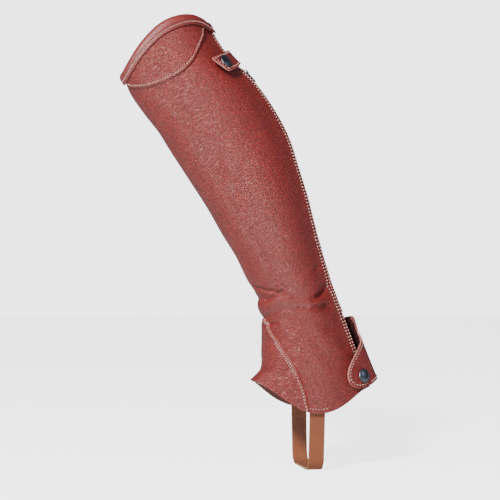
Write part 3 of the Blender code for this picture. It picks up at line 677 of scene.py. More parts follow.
def cut_face(name, pale, dark):
    """A cut edge: pale fibres, with the dye of the face bleeding in."""
    material, tree, shader = new_finish(name)
    place = tree.place()
    fibres = tree.noise(place, 1100.0, 4.0, 0.7)
    tone = tree.math("MULTIPLY_ADD", fibres, 0.5, tree.math("MULTIPLY", tree.noise(place, 130.0), 0.5))
    tree.put(shader, {"Base Color": tree.mix(tree.ramp(tone, 0.36, 0.66), dark, pale),
                      "Roughness": tree.math("MULTIPLY_ADD", fibres, 0.2, 0.50),
                      "Normal": tree.bump(fibres, 0.5, 0.0002)})
    return material


ZIP_ROWS = (1.7, 5.6)    # the stitch rows, in millimetres from the edge of each piece, and their pitches
ZIP_PITCH = 3.4
VAMP_ROW, VAMP_PITCH = 2.3, 2.7
LENS_ROW, LENS_PITCH = 2.1, 3.0
BAND_PITCH = 2.4
FLAP_ROW, FLAP_PITCH = 2.6, 3.6
FLESH = flesh_face("oxblood_flesh_side", (0.200, 0.060, 0.050, 1.0), (0.090, 0.026, 0.024, 1.0))
# pale raw fibres, made paler still as a painted highlight where the rounded cut edges catch the light
CUT_EDGE_AND_HIGHLIGHT = cut_face("oxblood_cut_edge_and_highlight", (0.640, 0.270, 0.230, 1.0), (0.330, 0.070, 0.065, 1.0))
# line=3.6 puts the painted groove shade midway between the two zip rows
PANEL_FACE = leather_face("oxblood_leg_panel", row=ZIP_ROWS[0], second=ZIP_ROWS[1], pitch=ZIP_PITCH,
                          wear=0.42, line=3.6)
VAMP_FACE = leather_face("oxblood_vamp", wear=0.5, row=VAMP_ROW, pitch=VAMP_PITCH)
LENS_FACE = leather_face("oxblood_lens_panel", cells=240.0, relief=0.8, row=LENS_ROW, pitch=LENS_PITCH)
BAND_FACE = leather_face("oxblood_binding", hide=(0.290, 0.015, 0.012, 1.0), cells=420.0, squeeze=1.0,
                         wrinkle=0.3, relief=0.35, row=2.4, pitch=BAND_PITCH, roughness=0.45, wear=0.08)
FLAP_FACE = leather_face("oxblood_flap", row=FLAP_ROW, pitch=FLAP_PITCH, wear=0.6)
# painted shade: the inner layer is coloured near black so that the gap behind the heel flap and the snap tab
# reads as shadow
FLAP_BACK_SHADE = leather_face("oxblood_flap_back_shade", hide=(0.110, 0.016, 0.020, 1.0),
                         deep=(0.036, 0.005, 0.008, 1.0), rubbed=(0.200, 0.050, 0.050, 1.0),
                         roughness=0.60, wear=0.2)
STRAP_FACE = flesh_face("tan_strap", (0.245, 0.068, 0.018, 1.0), (0.130, 0.032, 0.009, 1.0), 0.0)
STRAP_EDGE = cut_face("tan_strap_edge", (0.360, 0.170, 0.080, 1.0), (0.200, 0.080, 0.034, 1.0))
print("leather finishes:", sum(m.name.startswith(("oxblood", "tan")) for m in bpy.data.materials))

# %% [markdown]
# ## The main panel
# One piece of leather goes from the zip round the shin and back, notched in front where the vamp lies.
# The grid has its own rows where the ankle creases, and its columns crowd together beside the zip,
# where two rows of stitching hold the tape.

# %% The leg panel
PANEL_ROWS = np.concatenate([np.linspace(0.0, 9.0, 92)[:-1], np.linspace(9.0, 14.2, 92)[:-1],
                             np.linspace(14.2, 18.0, 58)])
PANEL_COLUMNS = np.concatenate([np.linspace(0.0, 0.06, 9)[:-1], np.linspace(0.06, 1.0, 78)])
NOTCH_TOP = VAMP_EDGE[0].station + 0.5


def zip_edge(station, side):
    """The turn of the leather's edge beside the zip, on the outer (+1) or inner (-1) side."""
    return ZIP_TURN + side * degrees_for(ZIP_TURN, station, ZIP_HALF_GAP)


def panel_turns(stations, side, columns):
    """The columns on one side, from the zip's edge to the front or to the vamp's notch."""
    notch = np.minimum(180.0, read_edge(VAMP_RUN, stations) + VAMP_OVERLAP)
    front = np.where(stations < NOTCH_TOP, 180.0, notch)[:, None]
    start = zip_edge(stations, side)[:, None]
    return start + (side * front - start) * columns[None, :]


def leg_skin(turn, station):
    """The grain side of the leg panel."""
    return leg_point(turn, station, LEATHER)


def make_leg_panel():
    """Both sides of the panel, which share their front points above the notch."""
    outer, inner = (leg_skin(panel_turns(PANEL_ROWS, side, PANEL_COLUMNS), PANEL_ROWS[:, None])
                    for side in (1, -1))
    inner = inner[:, ::-1]
    return leather_piece("leather_leg_panel", [(outer, ("left",)), (inner, ("right",))], LEATHER,
                         (PANEL_FACE, FLESH, CUT_EDGE_AND_HIGHLIGHT), rests_on=None, shared=PANEL_ROWS < NOTCH_TOP)


LEG_PIECE = make_leg_panel()
print("leg panel:", len(LEG_PIECE.data.polygons), "faces")

# %% [markdown]
# ## The vamp
# A tongue of leather covers the front of the ankle, on top of the main panel. Its sewn edge is pressed
# down, so the gap under it closes toward the edge and the panel's own creases carry on through it.

# %% The vamp
VAMP_OUT = 2 * LEATHER + LAID_GAP
PRESSED = 0.30           # how far a sewn edge is pressed down toward what it lies on
PRESS_REACH = 2.5


def vamp_skin(turn, station):
    """The grain side of the vamp, lower along its sewn edges."""
    start = read_edge(VAMP_RUN, station)
    inside = np.minimum(turn - start, 360.0 - start - turn) / degrees_for(turn, station, 1.0)
    pressed = PRESSED * np.exp(-np.clip(inside, 0.0, None) / PRESS_REACH)
    return leg_point(turn, station, VAMP_OUT - pressed)


def make_vamp():
    stations = np.concatenate([np.linspace(VAMP_EDGE[0].station, 14.0, 36)[:-1], np.linspace(14.0, 18.0, 60)])
    across = np.concatenate([np.linspace(0.0, 0.06, 6)[:-1], np.linspace(0.06, 0.94, 84)[:-1],
                             1.0 - np.linspace(0.06, 0.0, 6)])
    start = read_edge(VAMP_RUN, stations)[:, None]
    grid = vamp_skin(start + (360.0 - 2 * start) * across, stations[:, None])
    return leather_piece("leather_vamp", [(grid, ("left", "right"))], LEATHER, (VAMP_FACE, FLESH, CUT_EDGE_AND_HIGHLIGHT))


VAMP_PIECE = make_vamp()

# %% [markdown]
# ## The pointed panel at the top
# It lies on the outer side under the binding, pointed at the front and at the rear. It is left bare,
# with only the soft wrinkles of thin leather over a moving calf, and a bead beside its row of stitches.

# %% The lens panel
LENS_OUT = LEATHER + LAID_GAP + LENS_LEATHER
LENS_PRESSED = 0.25
LENS_PRESS_REACH = 1.2
BEAD = (1.1, 0.9)        # the bead at its edge and the groove beside it: distance in, and spread
GROOVE = (3.0, 1.0)


def hump(place, middle, spread):
    return np.exp(-((place - middle) / spread) ** 2)


def lens_low(turn):
    return read_edge(LENS_RUN, turn)


def lens_skin(turn, station):
    """The grain side of the pointed panel, pressed down along its lower edge."""
    inside = (lens_low(turn) - station) * leg_frame(turn, station)[3]
    pressed = LENS_PRESSED * np.exp(-np.clip(inside, 0.0, None) / LENS_PRESS_REACH)
    bead = 0.45 * hump(inside, *BEAD) - 0.35 * hump(inside, *GROOVE)
    return leg_point(turn, station, LENS_OUT - pressed + bead)


def make_lens():
    turns = np.linspace(LENS_EDGE[-1].turn, LENS_EDGE[0].turn, 190)[None, :]
    fractions = np.concatenate([np.linspace(0.0, 0.84, 34)[:-1], np.linspace(0.84, 1.0, 16)])[:, None]
    stations = LENS_TOP + (lens_low(turns) - LENS_TOP) * fractions
    grid = lens_skin(turns + 0.0 * stations, stations)
    return leather_piece("leather_lens_panel", [(grid, ("bottom",))], LENS_LEATHER,
                         (LENS_FACE, FLESH, CUT_EDGE_AND_HIGHLIGHT))


LENS_PIECE = make_lens()

# %% [markdown]
# ## The rolled binding
# A strip of softer leather is folded over the top edge and sewn through. Its section is a table of
# points, swept round the top edge, the same as on the CAD's solid. It dips along its stitches, and
# lies lower where there is no pointed panel beneath it.

# %% The top band
BAND_END_OUT = 4.0
BAND_END_RISE = 0.16
BAND_EASE = 8.0          # the degrees over which it settles past the pointed panel
BAND_DIP = 0.35          # how deep it is drawn in along its stitches
BAND_ENDS = (float(zip_edge(0.0, 1)), float(zip_edge(0.0, -1)) + 360.0)
BandPoint = namedtuple("BandPoint", "down out")
BAND_PROFILE = [BandPoint(*row) for row in (
    (11, 5.6), (9, 6.6), (6, 7.3), (2.6, 7.2), (-0.6, 6), (-2.4, 3.6), (-2.9, 0.6), (-2.1, -1.8),
    (1, -2.9), (6, -3), (10, -3),
)]
BAND_RUN = rounded(BAND_PROFILE)[::-1]
BAND_ROW = 2.6           # its stitches, from its lower edge


def band_skin(turns, down_mm, out_mm):
    """The binding's grain side at a turn, down from the top edge and out from the leg."""
    inside = np.minimum(turns - LENS_EDGE[-1].turn, LENS_EDGE[0].turn - turns)
    on_lens = np.clip(inside / BAND_EASE + 1.0, 0.0, 1.0)
    settled = out_mm - (1.0 - on_lens) * np.clip(out_mm, 0.0, LENS_LEATHER)
    first, last = BAND_ENDS
    settled = np.minimum(settled, BAND_END_OUT + BAND_END_RISE * np.minimum(turns - first, last - turns))
    stations = np.clip(down_mm / leg_frame(turns, 0.3)[3], 0.0, None)
    _, normal, down, _ = leg_frame(turns, stations)
    above = np.minimum(down_mm + 0.0 * turns, 0.0)
    return leg_point(turns, stations, 0.0) + normal * settled[..., None] + down * above[..., None]


def band_turns(count):
    outer, inner = (panel_turns(np.zeros(1), side, np.linspace(0.0, 1.0, count)) for side in (1, -1))
    return np.concatenate([outer, inner[:, -2::-1] + 360.0], axis=1)


def make_band():
    down, out = BAND_RUN[:, :1], BAND_RUN[:, 1:]
    row = hump(BAND_PROFILE[0].down - down, BAND_ROW, 1.2) * (out > 0)
    grid = band_skin(band_turns(150), down, out - BAND_DIP * row)
    return leather_piece("leather_top_band", [(grid, ("bottom",))], BAND_LEATHER,
                         (BAND_FACE, FLESH, CUT_EDGE_AND_HIGHLIGHT))


BAND_PIECE = make_band()

# %% [markdown]
# ## The heel flap
# A stiff flap is sewn on the inner side, swings round behind the heel and snaps on the outer side. It
# is two layers glued back to back, so its thick cut edge shows a line between them. Each layer is a
# leather piece of its own half thickness here, which gives that line for nothing.

# %% The heel flap
FLAP_ROOT = -62.0
FLAP_REST = 4.6
FLAP_BULGE = 13.4        # how far it stands off behind the heel
FLAP_BULGE_TURN = 4.0
FLAP_BULGE_SPREAD = 27.0
HEEL_SNAP = (31.0, 17.3)
LAYER_GAP = 0.06
FREE_SIDES = ("right", "top", "bottom")


def flap_out(turn):
    return FLAP_REST + FLAP_BULGE * hump(turn, FLAP_BULGE_TURN, FLAP_BULGE_SPREAD)


def flap_skin(turn, station, inward=0.0):
    """The grain side of the heel flap, or a layer further in."""
    return bridge_point(turn, station, flap_out(turn) - inward)


def two_layers(name, skin, turns, stations):
    """A piece of two leathers back to back, from the skin of the outer one."""
    half = (FLAP_LEATHER - LAYER_GAP) / 2
    made = []
    # the inner layer takes the dark painted-shade finish
    for name, inward, below, face, back in (
            (name, 0.0, "leather_leg_panel", FLAP_FACE, FLESH),
            (name + "_back", half + LAYER_GAP, name, FLAP_BACK_SHADE, FLAP_BACK_SHADE)):
        grid = skin(turns, stations, inward)
        looks = (face, back, CUT_EDGE_AND_HIGHLIGHT)
        made.append(leather_piece(name, [(grid, FREE_SIDES)], half, looks, 0.22, below))
    return made


def make_heel_flap():
    stations = np.linspace(FLAP_EDGE[0].station, FLAP_EDGE[-1].station, 84)[:, None]
    behind = np.linspace(FLAP_ROOT, FLAP_BULGE_TURN - 4.0, 44)[None, :-1] + 0.0 * stations
    start = behind[:, -1:]
    ahead = start + (read_edge(FLAP_RUN, stations) - start) * np.linspace(0.0, 1.0, 40)[None, 1:]
    return two_layers("leather_heel_flap", flap_skin, np.concatenate([behind, ahead], axis=1), stations)


FLAP_PIECES = make_heel_flap()

# %% [markdown]
# ## The snap tab
# The short tab over the top of the zip is made in the same way. Its free end springs up from the leg,
# and its corners are cut round.

# %% The snap tab
TAB_END = 68.0
TAB_SLANT = 9.0
TAB_ROOT = -46.0
TAB_TOP = 1.33
TAB_FOOT = 2.15
TAB_FALL = 0.70
TAB_NARROW = 0.33
TAB_REST = 4.5
TAB_BULGE = 8.9
TAB_BULGE_SPREAD = 20.0
TAB_LIFT = 5.5
TAB_SNAP_TURN = 53.0
TAB_CORNER = 0.17        # the round of its corners, as a share of its width
TAB_CORNER_TURNS = 4.0


def tab_out(turn):
    sprung = TAB_LIFT * np.clip((turn - ZIP_TURN - 3.0) / (TAB_END - ZIP_TURN - 3.0), 0.0, 1.2)
    return TAB_REST + TAB_BULGE * hump(turn, ZIP_TURN, TAB_BULGE_SPREAD) + sprung


def tab_turn(turn, across):
    """A turn along the tab's upper edge, carried to a fraction across it, where the end is slanted."""
    return turn - TAB_SLANT * across * np.clip((turn - ZIP_TURN) / (TAB_END - ZIP_TURN), 0.0, 1.0)


def tab_station(turn, across):
    """The station at a turn and a fraction across the tab, from its upper edge to its lower one."""
    fallen = 1.0 - np.exp(-np.clip(turn - ZIP_TURN, 0.0, None) / 35.0)
    width = (TAB_FOOT - TAB_TOP) * (1.0 - TAB_NARROW * fallen)
    return TAB_TOP + TAB_FALL * fallen + width * across


def tab_across(turn, fraction):
    """A fraction across the tab, drawn in where its corners are cut round."""
    past = np.clip((turn - (TAB_END - TAB_CORNER_TURNS)) / TAB_CORNER_TURNS, 0.0, 1.0)
    half = 0.5 - TAB_CORNER * (1.0 - np.sqrt(np.clip(1.0 - past ** 2, 0.0, 1.0)))
    return 0.5 + (fraction - 0.5) * 2 * half


def tab_skin(turn, station, inward=0.0):
    return bridge_point(turn, station, tab_out(turn) - inward)


def make_snap_tab():
    corner = TAB_CORNER_TURNS * (1 - np.sin(np.linspace(0, math.pi / 2, 9)))
    turns = np.concatenate([np.linspace(TAB_ROOT, TAB_END - TAB_CORNER_TURNS, 74)[:-1], TAB_END - corner])
    across = tab_across(turns, np.linspace(0.0, 1.0, 22)[:, None])
    turns = tab_turn(turns, across)
    return two_layers("leather_snap_tab", tab_skin, turns, tab_station(turns, across))


TAB_PIECES = make_snap_tab()

# %% [markdown]
# ## The strap under the foot
# A strip of tan leather with its napped side out goes from inside the outer hem, under the sole and up
# inside the inner hem. It follows a path in one plane, rounded where it turns under the sole.

# %% The foot strap
STRAP_WIDTH = 16.5
STRAP_BOTTOM = -354.0
STRAP_CORNER = 14.0
STRAP_LAP = 19.0         # how far each end goes up inside the hem
STRAP_AHEAD = 2.6
STRAP_CLEAR = 1.8
SOLE_HALF = 38.0


def strap_path():
    """The strap's outer face from hem to hem, as Y and Z, and the X of its middle."""
    outer_hem, inner_hem = (leg_frame(turn, STATIONS - 0.9)[0] for turn in (90.0, 270.0))
    hem_z = leg_frame(90.0, STATIONS)[0][2]
    turn_z = STRAP_BOTTOM + STRAP_CORNER

    def from_hem(y, sole_y):
        """Down inside the hem, then straight to where the strap turns under the sole."""
        run = [(y, z) for z in np.linspace(hem_z + STRAP_LAP, hem_z, 12)]
        return run + [(y + (sole_y - y) * part, hem_z + (turn_z - hem_z) * part)
                      for part in np.linspace(0.0, 1.0, 20)[1:-1]]

    under = [(-SOLE_HALF + STRAP_CORNER * (1 - math.cos(a)), STRAP_BOTTOM + STRAP_CORNER * (1 - math.sin(a)))
             for a in np.linspace(0.0, math.pi / 2, 14)]
    under += [(y, STRAP_BOTTOM) for y in np.linspace(-SOLE_HALF + STRAP_CORNER, 0.0, 12)[1:]]
    path = from_hem(outer_hem[1] + STRAP_CLEAR, -SOLE_HALF) + under + [(-y, z) for y, z in under[-2::-1]]
    path += from_hem(inner_hem[1] - STRAP_CLEAR, SOLE_HALF)[::-1]
    return path, float(outer_hem[0]) - STRAP_AHEAD


def make_strap():
    path, middle = strap_path()
    across = np.linspace(-STRAP_WIDTH / 2, STRAP_WIDTH / 2, 12)
    grid = np.array([[(middle + dx, y, z) for y, z in path] for dx in across])
    return leather_piece("leather_foot_strap", [(grid, ("left", "right", "top", "bottom"))], STRAP_LEATHER,
                         (STRAP_FACE, STRAP_FACE, STRAP_EDGE))


STRAP_PIECE = make_strap()

# %% [markdown]
# ## The zip
# Behind, the two edges of the leather stand a finger's width apart, and the zip closes between them.
# Its tapes are woven, so their finish is a weave drawn from the tape's own two numbers. The teeth are a
# spiral of nylon on each tape, and repeat every couple of millimetres, so Geometry Nodes lays them
# along the zip's middle line.

# %% The tape weave and the zip's materials
def build_tape_weave():
    tree, given, outlet = new_tree("tape_weave", "ShaderNodeTree",
                                   {"Across mm": 0.0, "Along mm": 0.0, "Threads per mm": 1.4},
                                   {"Height": 0.0, "Gaps": 0.0})
    threads = []
    for sign in (1.0, -1.0):
        place = tree.math("MULTIPLY_ADD", given["Along mm"], sign, given["Across mm"])
        place = tree.math("MULTIPLY", place, given["Threads per mm"])
        threads.append(tree.math("SINE", tree.math("MULTIPLY", place, math.tau)))
    height = tree.math("MAXIMUM", *threads)
    tree.put(outlet, {"Height": height, "Gaps": tree.ramp(height, 0.35, -0.35)})
    return tree.tree


TAPE_WEAVE = build_tape_weave()


def tape_cloth():
    material, tree, shader = new_finish("zip_tape_cloth")
    weave = tree.group(TAPE_WEAVE, Across_mm=tree.number("edge_mm"), Along_mm=tree.number("along_mm"))
    colour = tree.mix(weave["Gaps"], (0.105, 0.026, 0.032, 1.0), (0.030, 0.008, 0.012, 1.0))
    tree.put(shader, {"Base Color": colour, "Normal": tree.bump(weave["Height"], 0.6, 0.0002),
                      "Roughness": 0.85, "Sheen Weight": 0.2})
    return material


def speckled(name, colour, dark, roughness, scale=600.0, metallic=0.0, relief=0.1):
    """A small hard part's finish: its colour and gloss broken up by handling."""
    material, tree, shader = new_finish(name)
    place = tree.place()
    rubs = tree.noise(place, scale, 4.0)
    clouds = tree.ramp(tree.noise(place, scale / 6), 0.35, 0.70)
    tree.put(shader, {"Base Color": tree.mix(clouds, colour, dark), "Metallic": metallic,
                      "Roughness": tree.math("MULTIPLY_ADD", rubs, 0.2, roughness - 0.1),
                      "Normal": tree.bump(rubs, relief, 0.0001)})
    return material


TAPE_CLOTH = tape_cloth()
TEETH = speckled("zip_nylon", (0.075, 0.020, 0.026, 1.0), (0.050, 0.014, 0.018, 1.0), 0.40)
GUNMETAL = speckled("gunmetal", (0.135, 0.155, 0.185, 1.0), (0.070, 0.080, 0.098, 1.0), 0.30, 420.0, 1.0)
THREAD = speckled("waxed_thread", (0.660, 0.440, 0.400, 1.0), (0.480, 0.250, 0.230, 1.0), 0.55, 1500.0,
                  relief=0.5)
# painted shade for the needle holes
NEEDLE_HOLE_SHADE = speckled("needle_hole_shade", (0.030, 0.006, 0.008, 1.0), (0.015, 0.004, 0.005, 1.0), 0.9)
print("zip finishes ready")

# %% The tapes
ZIP_TOP = 0.62
ZIP_END = 13.9
TAPE_SPLIT = 3.3         # from the middle to a tape's edge above the slider
TAPE_CLOSED = 1.8        # and below it
TAPE_HIDDEN = 5.2        # how far a tape runs in under the leather's edge
CHAIN_OUT = 0.3
CHAIN_TOP = 2.11
SLIDER_STATION = 2.37


def make_tape(name, side):
    stations = np.linspace(ZIP_TOP, ZIP_END, 200)[:, None]
    split = np.where(stations < SLIDER_STATION, TAPE_SPLIT, TAPE_CLOSED)
    reach = split + (ZIP_HALF_GAP + TAPE_HIDDEN - split) * np.linspace(0.0, 1.0, 12)
    turns = ZIP_TURN + side * (reach * degrees_for(ZIP_TURN, stations, 1.0))[:, ::side]
    grid = leg_point(turns, stations, -GAP)
    sewn = "left" if side > 0 else "right"
    return leather_piece(name, [(grid, (sewn,))], TAPE, (TAPE_CLOTH, TAPE_CLOTH, TAPE_CLOTH), 0.2)


TAPES = [make_tape("woven_tape_outer", 1), make_tape("woven_tape_inner", -1)]

# %% [markdown]
# ## A tree for what follows a line
# Stitches and zip teeth both sit at a steady pitch along a line, turned to face out of the leather. The
# line is a run of points that carry the surface's outward direction. One helper starts such a tree: it
# makes the line a curve, spaces it out, and gives each place its turn.

# %% The start and the end of a row tree
def row_tree(name, inputs):
    """A tree with these inputs, its ends, and its evenly spaced places with the turn of each.
    Its third part gives an input times a factor."""
    tree, given, outlet = new_tree(name, "GeometryNodeTree", {"Geometry": "Geometry", **inputs},
                                   {"Geometry": "Geometry"})
    line = tree.add("GeometryNodeMeshToCurve", {"Mesh": given["Geometry"]})[0]
    spaced = tree.add("GeometryNodeResampleCurve", {"Curve": line, "Length": given["Pitch"]},
                      mode="LENGTH")[0]
    places = tree.add("GeometryNodeCurveToPoints", {"Curve": spaced}, mode="EVALUATED")
    outward = tree.named("outward", "FLOAT_VECTOR")
    along = tree.add("FunctionNodeAlignRotationToVector", {"Vector": places["Tangent"]}, axis="X")[0]
    turned = tree.add("FunctionNodeAlignRotationToVector", {"Rotation": along, "Vector": outward},
                      axis="Z", pivot_axis="X")[0]

    def times(label, factor):
        return tree.math("MULTIPLY", given[label], factor)

    return tree, given, times, outlet, {"Points": places["Points"], "Rotation": turned}


def tube(tree, curve, radius):
    """A closed six-sided tube along a curve."""
    ring = tree.add("GeometryNodeCurvePrimitiveCircle", {"Resolution": 6, "Radius": radius}, mode="RADIUS")[0]
    return tree.add("GeometryNodeCurveToMesh", {"Curve": curve, "Profile Curve": ring, "Fill Caps": True})[0]


def lay(tree, spots, parts):
    """Joins these parts and lays them at every place."""
    both = tree.tree.nodes.new("GeometryNodeJoinGeometry")
    for part in parts:
        tree.put(both, {0: part})
    return tree.add("GeometryNodeInstanceOnPoints", {**spots, "Instance": both.outputs[0]})[0]


def close_tree(tree, outlet, geometry, material, other=None, marked=None):
    """Ends a tree in Realize Instances and Set Material, with a second material where marked."""
    made = tree.add("GeometryNodeRealizeInstances", {"Geometry": geometry})[0]
    made = tree.add("GeometryNodeSetShadeSmooth", {"Geometry": made})[0]
    made = tree.add("GeometryNodeSetMaterial", {"Geometry": made, "Material": material})[0]
    if other is not None:
        made = tree.add("GeometryNodeSetMaterial", {"Geometry": made, "Material": other,
                                                    "Selection": tree.named(marked, "BOOLEAN")})[0]
    tree.put(outlet, {"Geometry": made})
    return tree.tree


def run_tree(name, tree, rows, values):
    """Runs a row tree on lines of points and outward directions, and keeps the mesh it makes."""
    edges, start = [], 0
    for line, _ in rows:
        edges += [(start + i, start + i + 1) for i in range(len(line) - 1)]
        start += len(line)
    item = mesh_object(name, (np.concatenate([line for line, _ in rows]) * MM).tolist(), edges=edges)
    outward = np.concatenate([directions for _, directions in rows])
    stored = item.data.attributes.new("outward", "FLOAT_VECTOR", "POINT")
    stored.data.foreach_set("vector", outward.astype(np.float32).ravel())
    modifier = item.modifiers.new("Rows", "NODES")
    modifier.node_group = tree
    sockets = {s.name: s.identifier for s in tree.interface.items_tree if s.item_type == "SOCKET"}
    for label, value in values.items():
        modifier[sockets[label]] = value
    return plain_mesh(item)


print("row helpers ready")

# %% [markdown]
# ## Saddle stitches
# One stitch is a short length of waxed thread that rises out of one hole and dives into the next. Its tree
# bends a thread, puts a near-black disc beyond its end as painted shade for the needle hole, and lays the
# pair along a row. No two stitches in a hand-worked row lie quite alike, so each is turned a little, from a
# fixed seed.

# %% The stitch tree
SINK = 0.08 * MM         # how far a needle hole lies below the middle of the thread
SLANT = 0.10             # the most that a stitch is turned, in radians
ROW_TURN = 0.4           # the small steps by which a skin is measured under a row
ROW_STATION = 0.03


def build_stitch_tree():
    tree, given, times, outlet, spots = row_tree("saddle_stitches", {
        "Pitch": 3.2 * MM, "Length": 2.4 * MM, "Thread": 0.75 * MM, "Slant": SLANT, "Seed": 1})
    dive = times("Thread", -0.55)
    bend = tree.add("GeometryNodeCurveQuadraticBezier", {
        "Resolution": 5, "Start": tree.xyz(times("Length", -0.5), 0.0, dive),
        "Middle": tree.xyz(z=times("Thread", 1.15)), "End": tree.xyz(times("Length", 0.5), 0.0, dive)})[0]
    # painted shade: a flat near-black disc stands for the shadow in the needle hole
    hole = tree.add("GeometryNodeMeshUVSphere", {"Segments": 6, "Rings": 4,
                                                 "Radius": times("Thread", 0.5)})[0]
    hole = tree.add("GeometryNodeTransform", {"Geometry": hole, "Scale": (1.1, 1.0, 0.35),
                                              "Translation": tree.xyz(times("Pitch", 0.5), 0.0, -SINK)})[0]
    hole = tree.add("GeometryNodeStoreNamedAttribute", {"Geometry": hole, "Name": "hole", "Value": True},
                    data_type="BOOLEAN", domain="FACE")[0]
    laid = lay(tree, spots, (tube(tree, bend, times("Thread", 0.5)), hole))
    chance = tree.add("FunctionNodeRandomValue", {2: times("Slant", -1.0), 3: given["Slant"],
                                                  "Seed": given["Seed"]}, data_type="FLOAT")[1]
    laid = tree.add("GeometryNodeRotateInstances", {"Instances": laid, "Rotation": tree.xyz(z=chance)})[0]
    return close_tree(tree, outlet, laid, THREAD, NEEDLE_HOLE_SHADE, "hole")


STITCH_TREE = build_stitch_tree()
STITCHES = []


def row_on(skin, turns, stations, lift=0.12):
    """A line on a skin at these places, with its outward directions."""
    turns, stations = np.broadcast_arrays(np.asarray(turns, float), np.asarray(stations, float))
    around = skin(turns + ROW_TURN, stations) - skin(turns - ROW_TURN, stations)
    low, high = np.maximum(stations - ROW_STATION, 0.0), np.minimum(stations + ROW_STATION, STATIONS)
    down = skin(turns, high) - skin(turns, low)
    outward = unit(np.cross(around, down))
    return skin(turns, stations) + outward * lift, outward


def inset_run(skin, turns, stations, inset):
    """Places a distance in from an edge, to the left of the way it runs, in millimetres."""
    around = skin(turns + TURN_STEP, stations) - skin(turns - TURN_STEP, stations)
    per_turn = np.linalg.norm(around, axis=-1)
    low, high = np.maximum(stations - ROW_STATION, 0.0), np.minimum(stations + ROW_STATION, STATIONS)
    per_station = np.linalg.norm(skin(turns, high) - skin(turns, low), axis=-1) / (high - low)
    across, down = np.gradient(turns) * per_turn, np.gradient(stations) * per_station
    length = np.hypot(across, down)
    return turns + inset * down / length / per_turn, stations - inset * across / length / per_station


print("stitch tree:", len(STITCH_TREE.nodes), "nodes")

# %% [markdown]
# ## Where the rows run
# Each row is worked out on the skin that it is sewn through. Beside the zip there are two rows on each
# side. The vamp has two where the strain is, and longer stitches at its lower end. The panel's hem
# carries a short row that holds the strap.

# %% Rows on the panels
SHOWN = np.linspace(0.55, 17.6, 420)


def zip_row(side, inset):
    edge = zip_edge(SHOWN, side)
    return row_on(leg_skin, edge + side * degrees_for(edge, SHOWN, inset), SHOWN)


def vamp_rows(inset, first, last):
    """A row on each side of the vamp, this far in from its edge."""
    stations = np.linspace(first, last, 160)
    start = read_edge(VAMP_RUN, stations)
    turns = start + degrees_for(start, stations, inset)
    return [row_on(vamp_skin, turns, stations), row_on(vamp_skin, 360.0 - turns, stations)]


def lens_row():
    turns = np.linspace(LENS_EDGE[-1].turn + 1.0, LENS_EDGE[0].turn - 2.0, 300)
    turns, stations = inset_run(lens_skin, turns, lens_low(turns), LENS_ROW)
    clear = stations > 0.45
    return row_on(lens_skin, turns[clear], stations[clear])


def band_row():
    turns = band_turns(240)[0]
    level = np.full(turns.shape, BAND_PROFILE[0].down - BAND_ROW)
    outer = BAND_RUN[::-1][:60][::-1]
    out = np.interp(level, outer[:, 0], outer[:, 1])
    return band_skin(turns, level, out - 0.2), leg_frame(turns, 0.3)[1]


def hem_row(turn):
    return row_on(leg_skin, np.linspace(turn - 9.0, turn + 9.0, 40), STATIONS - 0.28)


# %% Rows on the flap and the tab
def flap_rows():
    """The free edge, the bottom, the top and the two rows that sew the flap on."""
    run = FLAP_RUN[(FLAP_RUN[:, 0] > 14.45) & (FLAP_RUN[:, 0] < 17.9)]
    high, low = FLAP_EDGE[0].station + 0.16, FLAP_EDGE[-1].station - 0.17
    places = [inset_run(flap_skin, run[:, 1], run[:, 0], -FLAP_ROW),
              (np.linspace(22.0, FLAP_ROOT + 4.0, 90), low), (np.linspace(FLAP_ROOT + 4.0, 10.0, 70), high)]
    places += [(FLAP_ROOT + away, np.linspace(high, low, 70)) for away in (3.5, 10.0)]
    return [row_on(flap_skin, *place) for place in places]


def tab_rows():
    """The two long edges, the end and the two rows that sew the tab on."""
    turns, across = np.linspace(TAB_ROOT + 3.0, TAB_END - 4.0, 120), np.linspace(0.14, 0.86, 30)
    places = [(turns, 0.10), (turns, 0.90), (np.full(30, TAB_END - 2.6), across)]
    places += [(np.full(30, TAB_ROOT + away), across) for away in (3.0, 9.0)]
    places = [(tab_turn(turn, share), share) for turn, share in places]
    return [row_on(tab_skin, turn, tab_station(turn, share)) for turn, share in places]


# each row's pitch, stitch length and thread, in millimetres, and the seed of its unevenness
for name, rows, pitch, length, thread, seed in (
        ("thread_zip", [zip_row(side, inset) for side in (1, -1) for inset in ZIP_ROWS],
         ZIP_PITCH, 1.2, 1.1, 3),
        ("thread_vamp", vamp_rows(VAMP_ROW, 12.75, 16.1) + vamp_rows(5.0, 14.3, 16.4),
         VAMP_PITCH, 1.1, 0.90, 5),
        ("thread_vamp_low", vamp_rows(VAMP_ROW, 16.2, 17.85), 3.4, 1.6, 1.0, 6),
        ("thread_lens", [lens_row()], LENS_PITCH, 1.2, 0.9, 7),
        ("thread_band", [band_row()], BAND_PITCH, 0.9, 0.85, 9),
        ("thread_hem", [hem_row(90.0), hem_row(270.0)], 2.7, 1.1, 0.9, 11),
        ("thread_flap", flap_rows(), FLAP_PITCH, 1.4, 0.95, 13),
        ("thread_tab", tab_rows(), 3.0, 1.2, 0.85, 15)):
    STITCHES.append(run_tree(name, STITCH_TREE, rows, {
        "Pitch": pitch * MM, "Length": length * MM, "Thread": thread * MM, "Slant": SLANT, "Seed": seed}))
    print(f"{name}: {len(rows)} rows, {len(STITCHES[-1].data.polygons)} faces")

# %% [markdown]
# ## The zip's teeth
# A nylon zip's teeth are the turns of a spiral, which show as two rows of short slanted bars that meet
# in the middle. The tree lays a bar on each side at every place, mirrored across the line.

# %% The teeth tree
CHAIN_END = ZIP_END - 0.08
TOOTH = {"Pitch": 1.5 * MM, "Reach": 2.5 * MM, "Thread": 1.0 * MM, "Slant": 0.32}


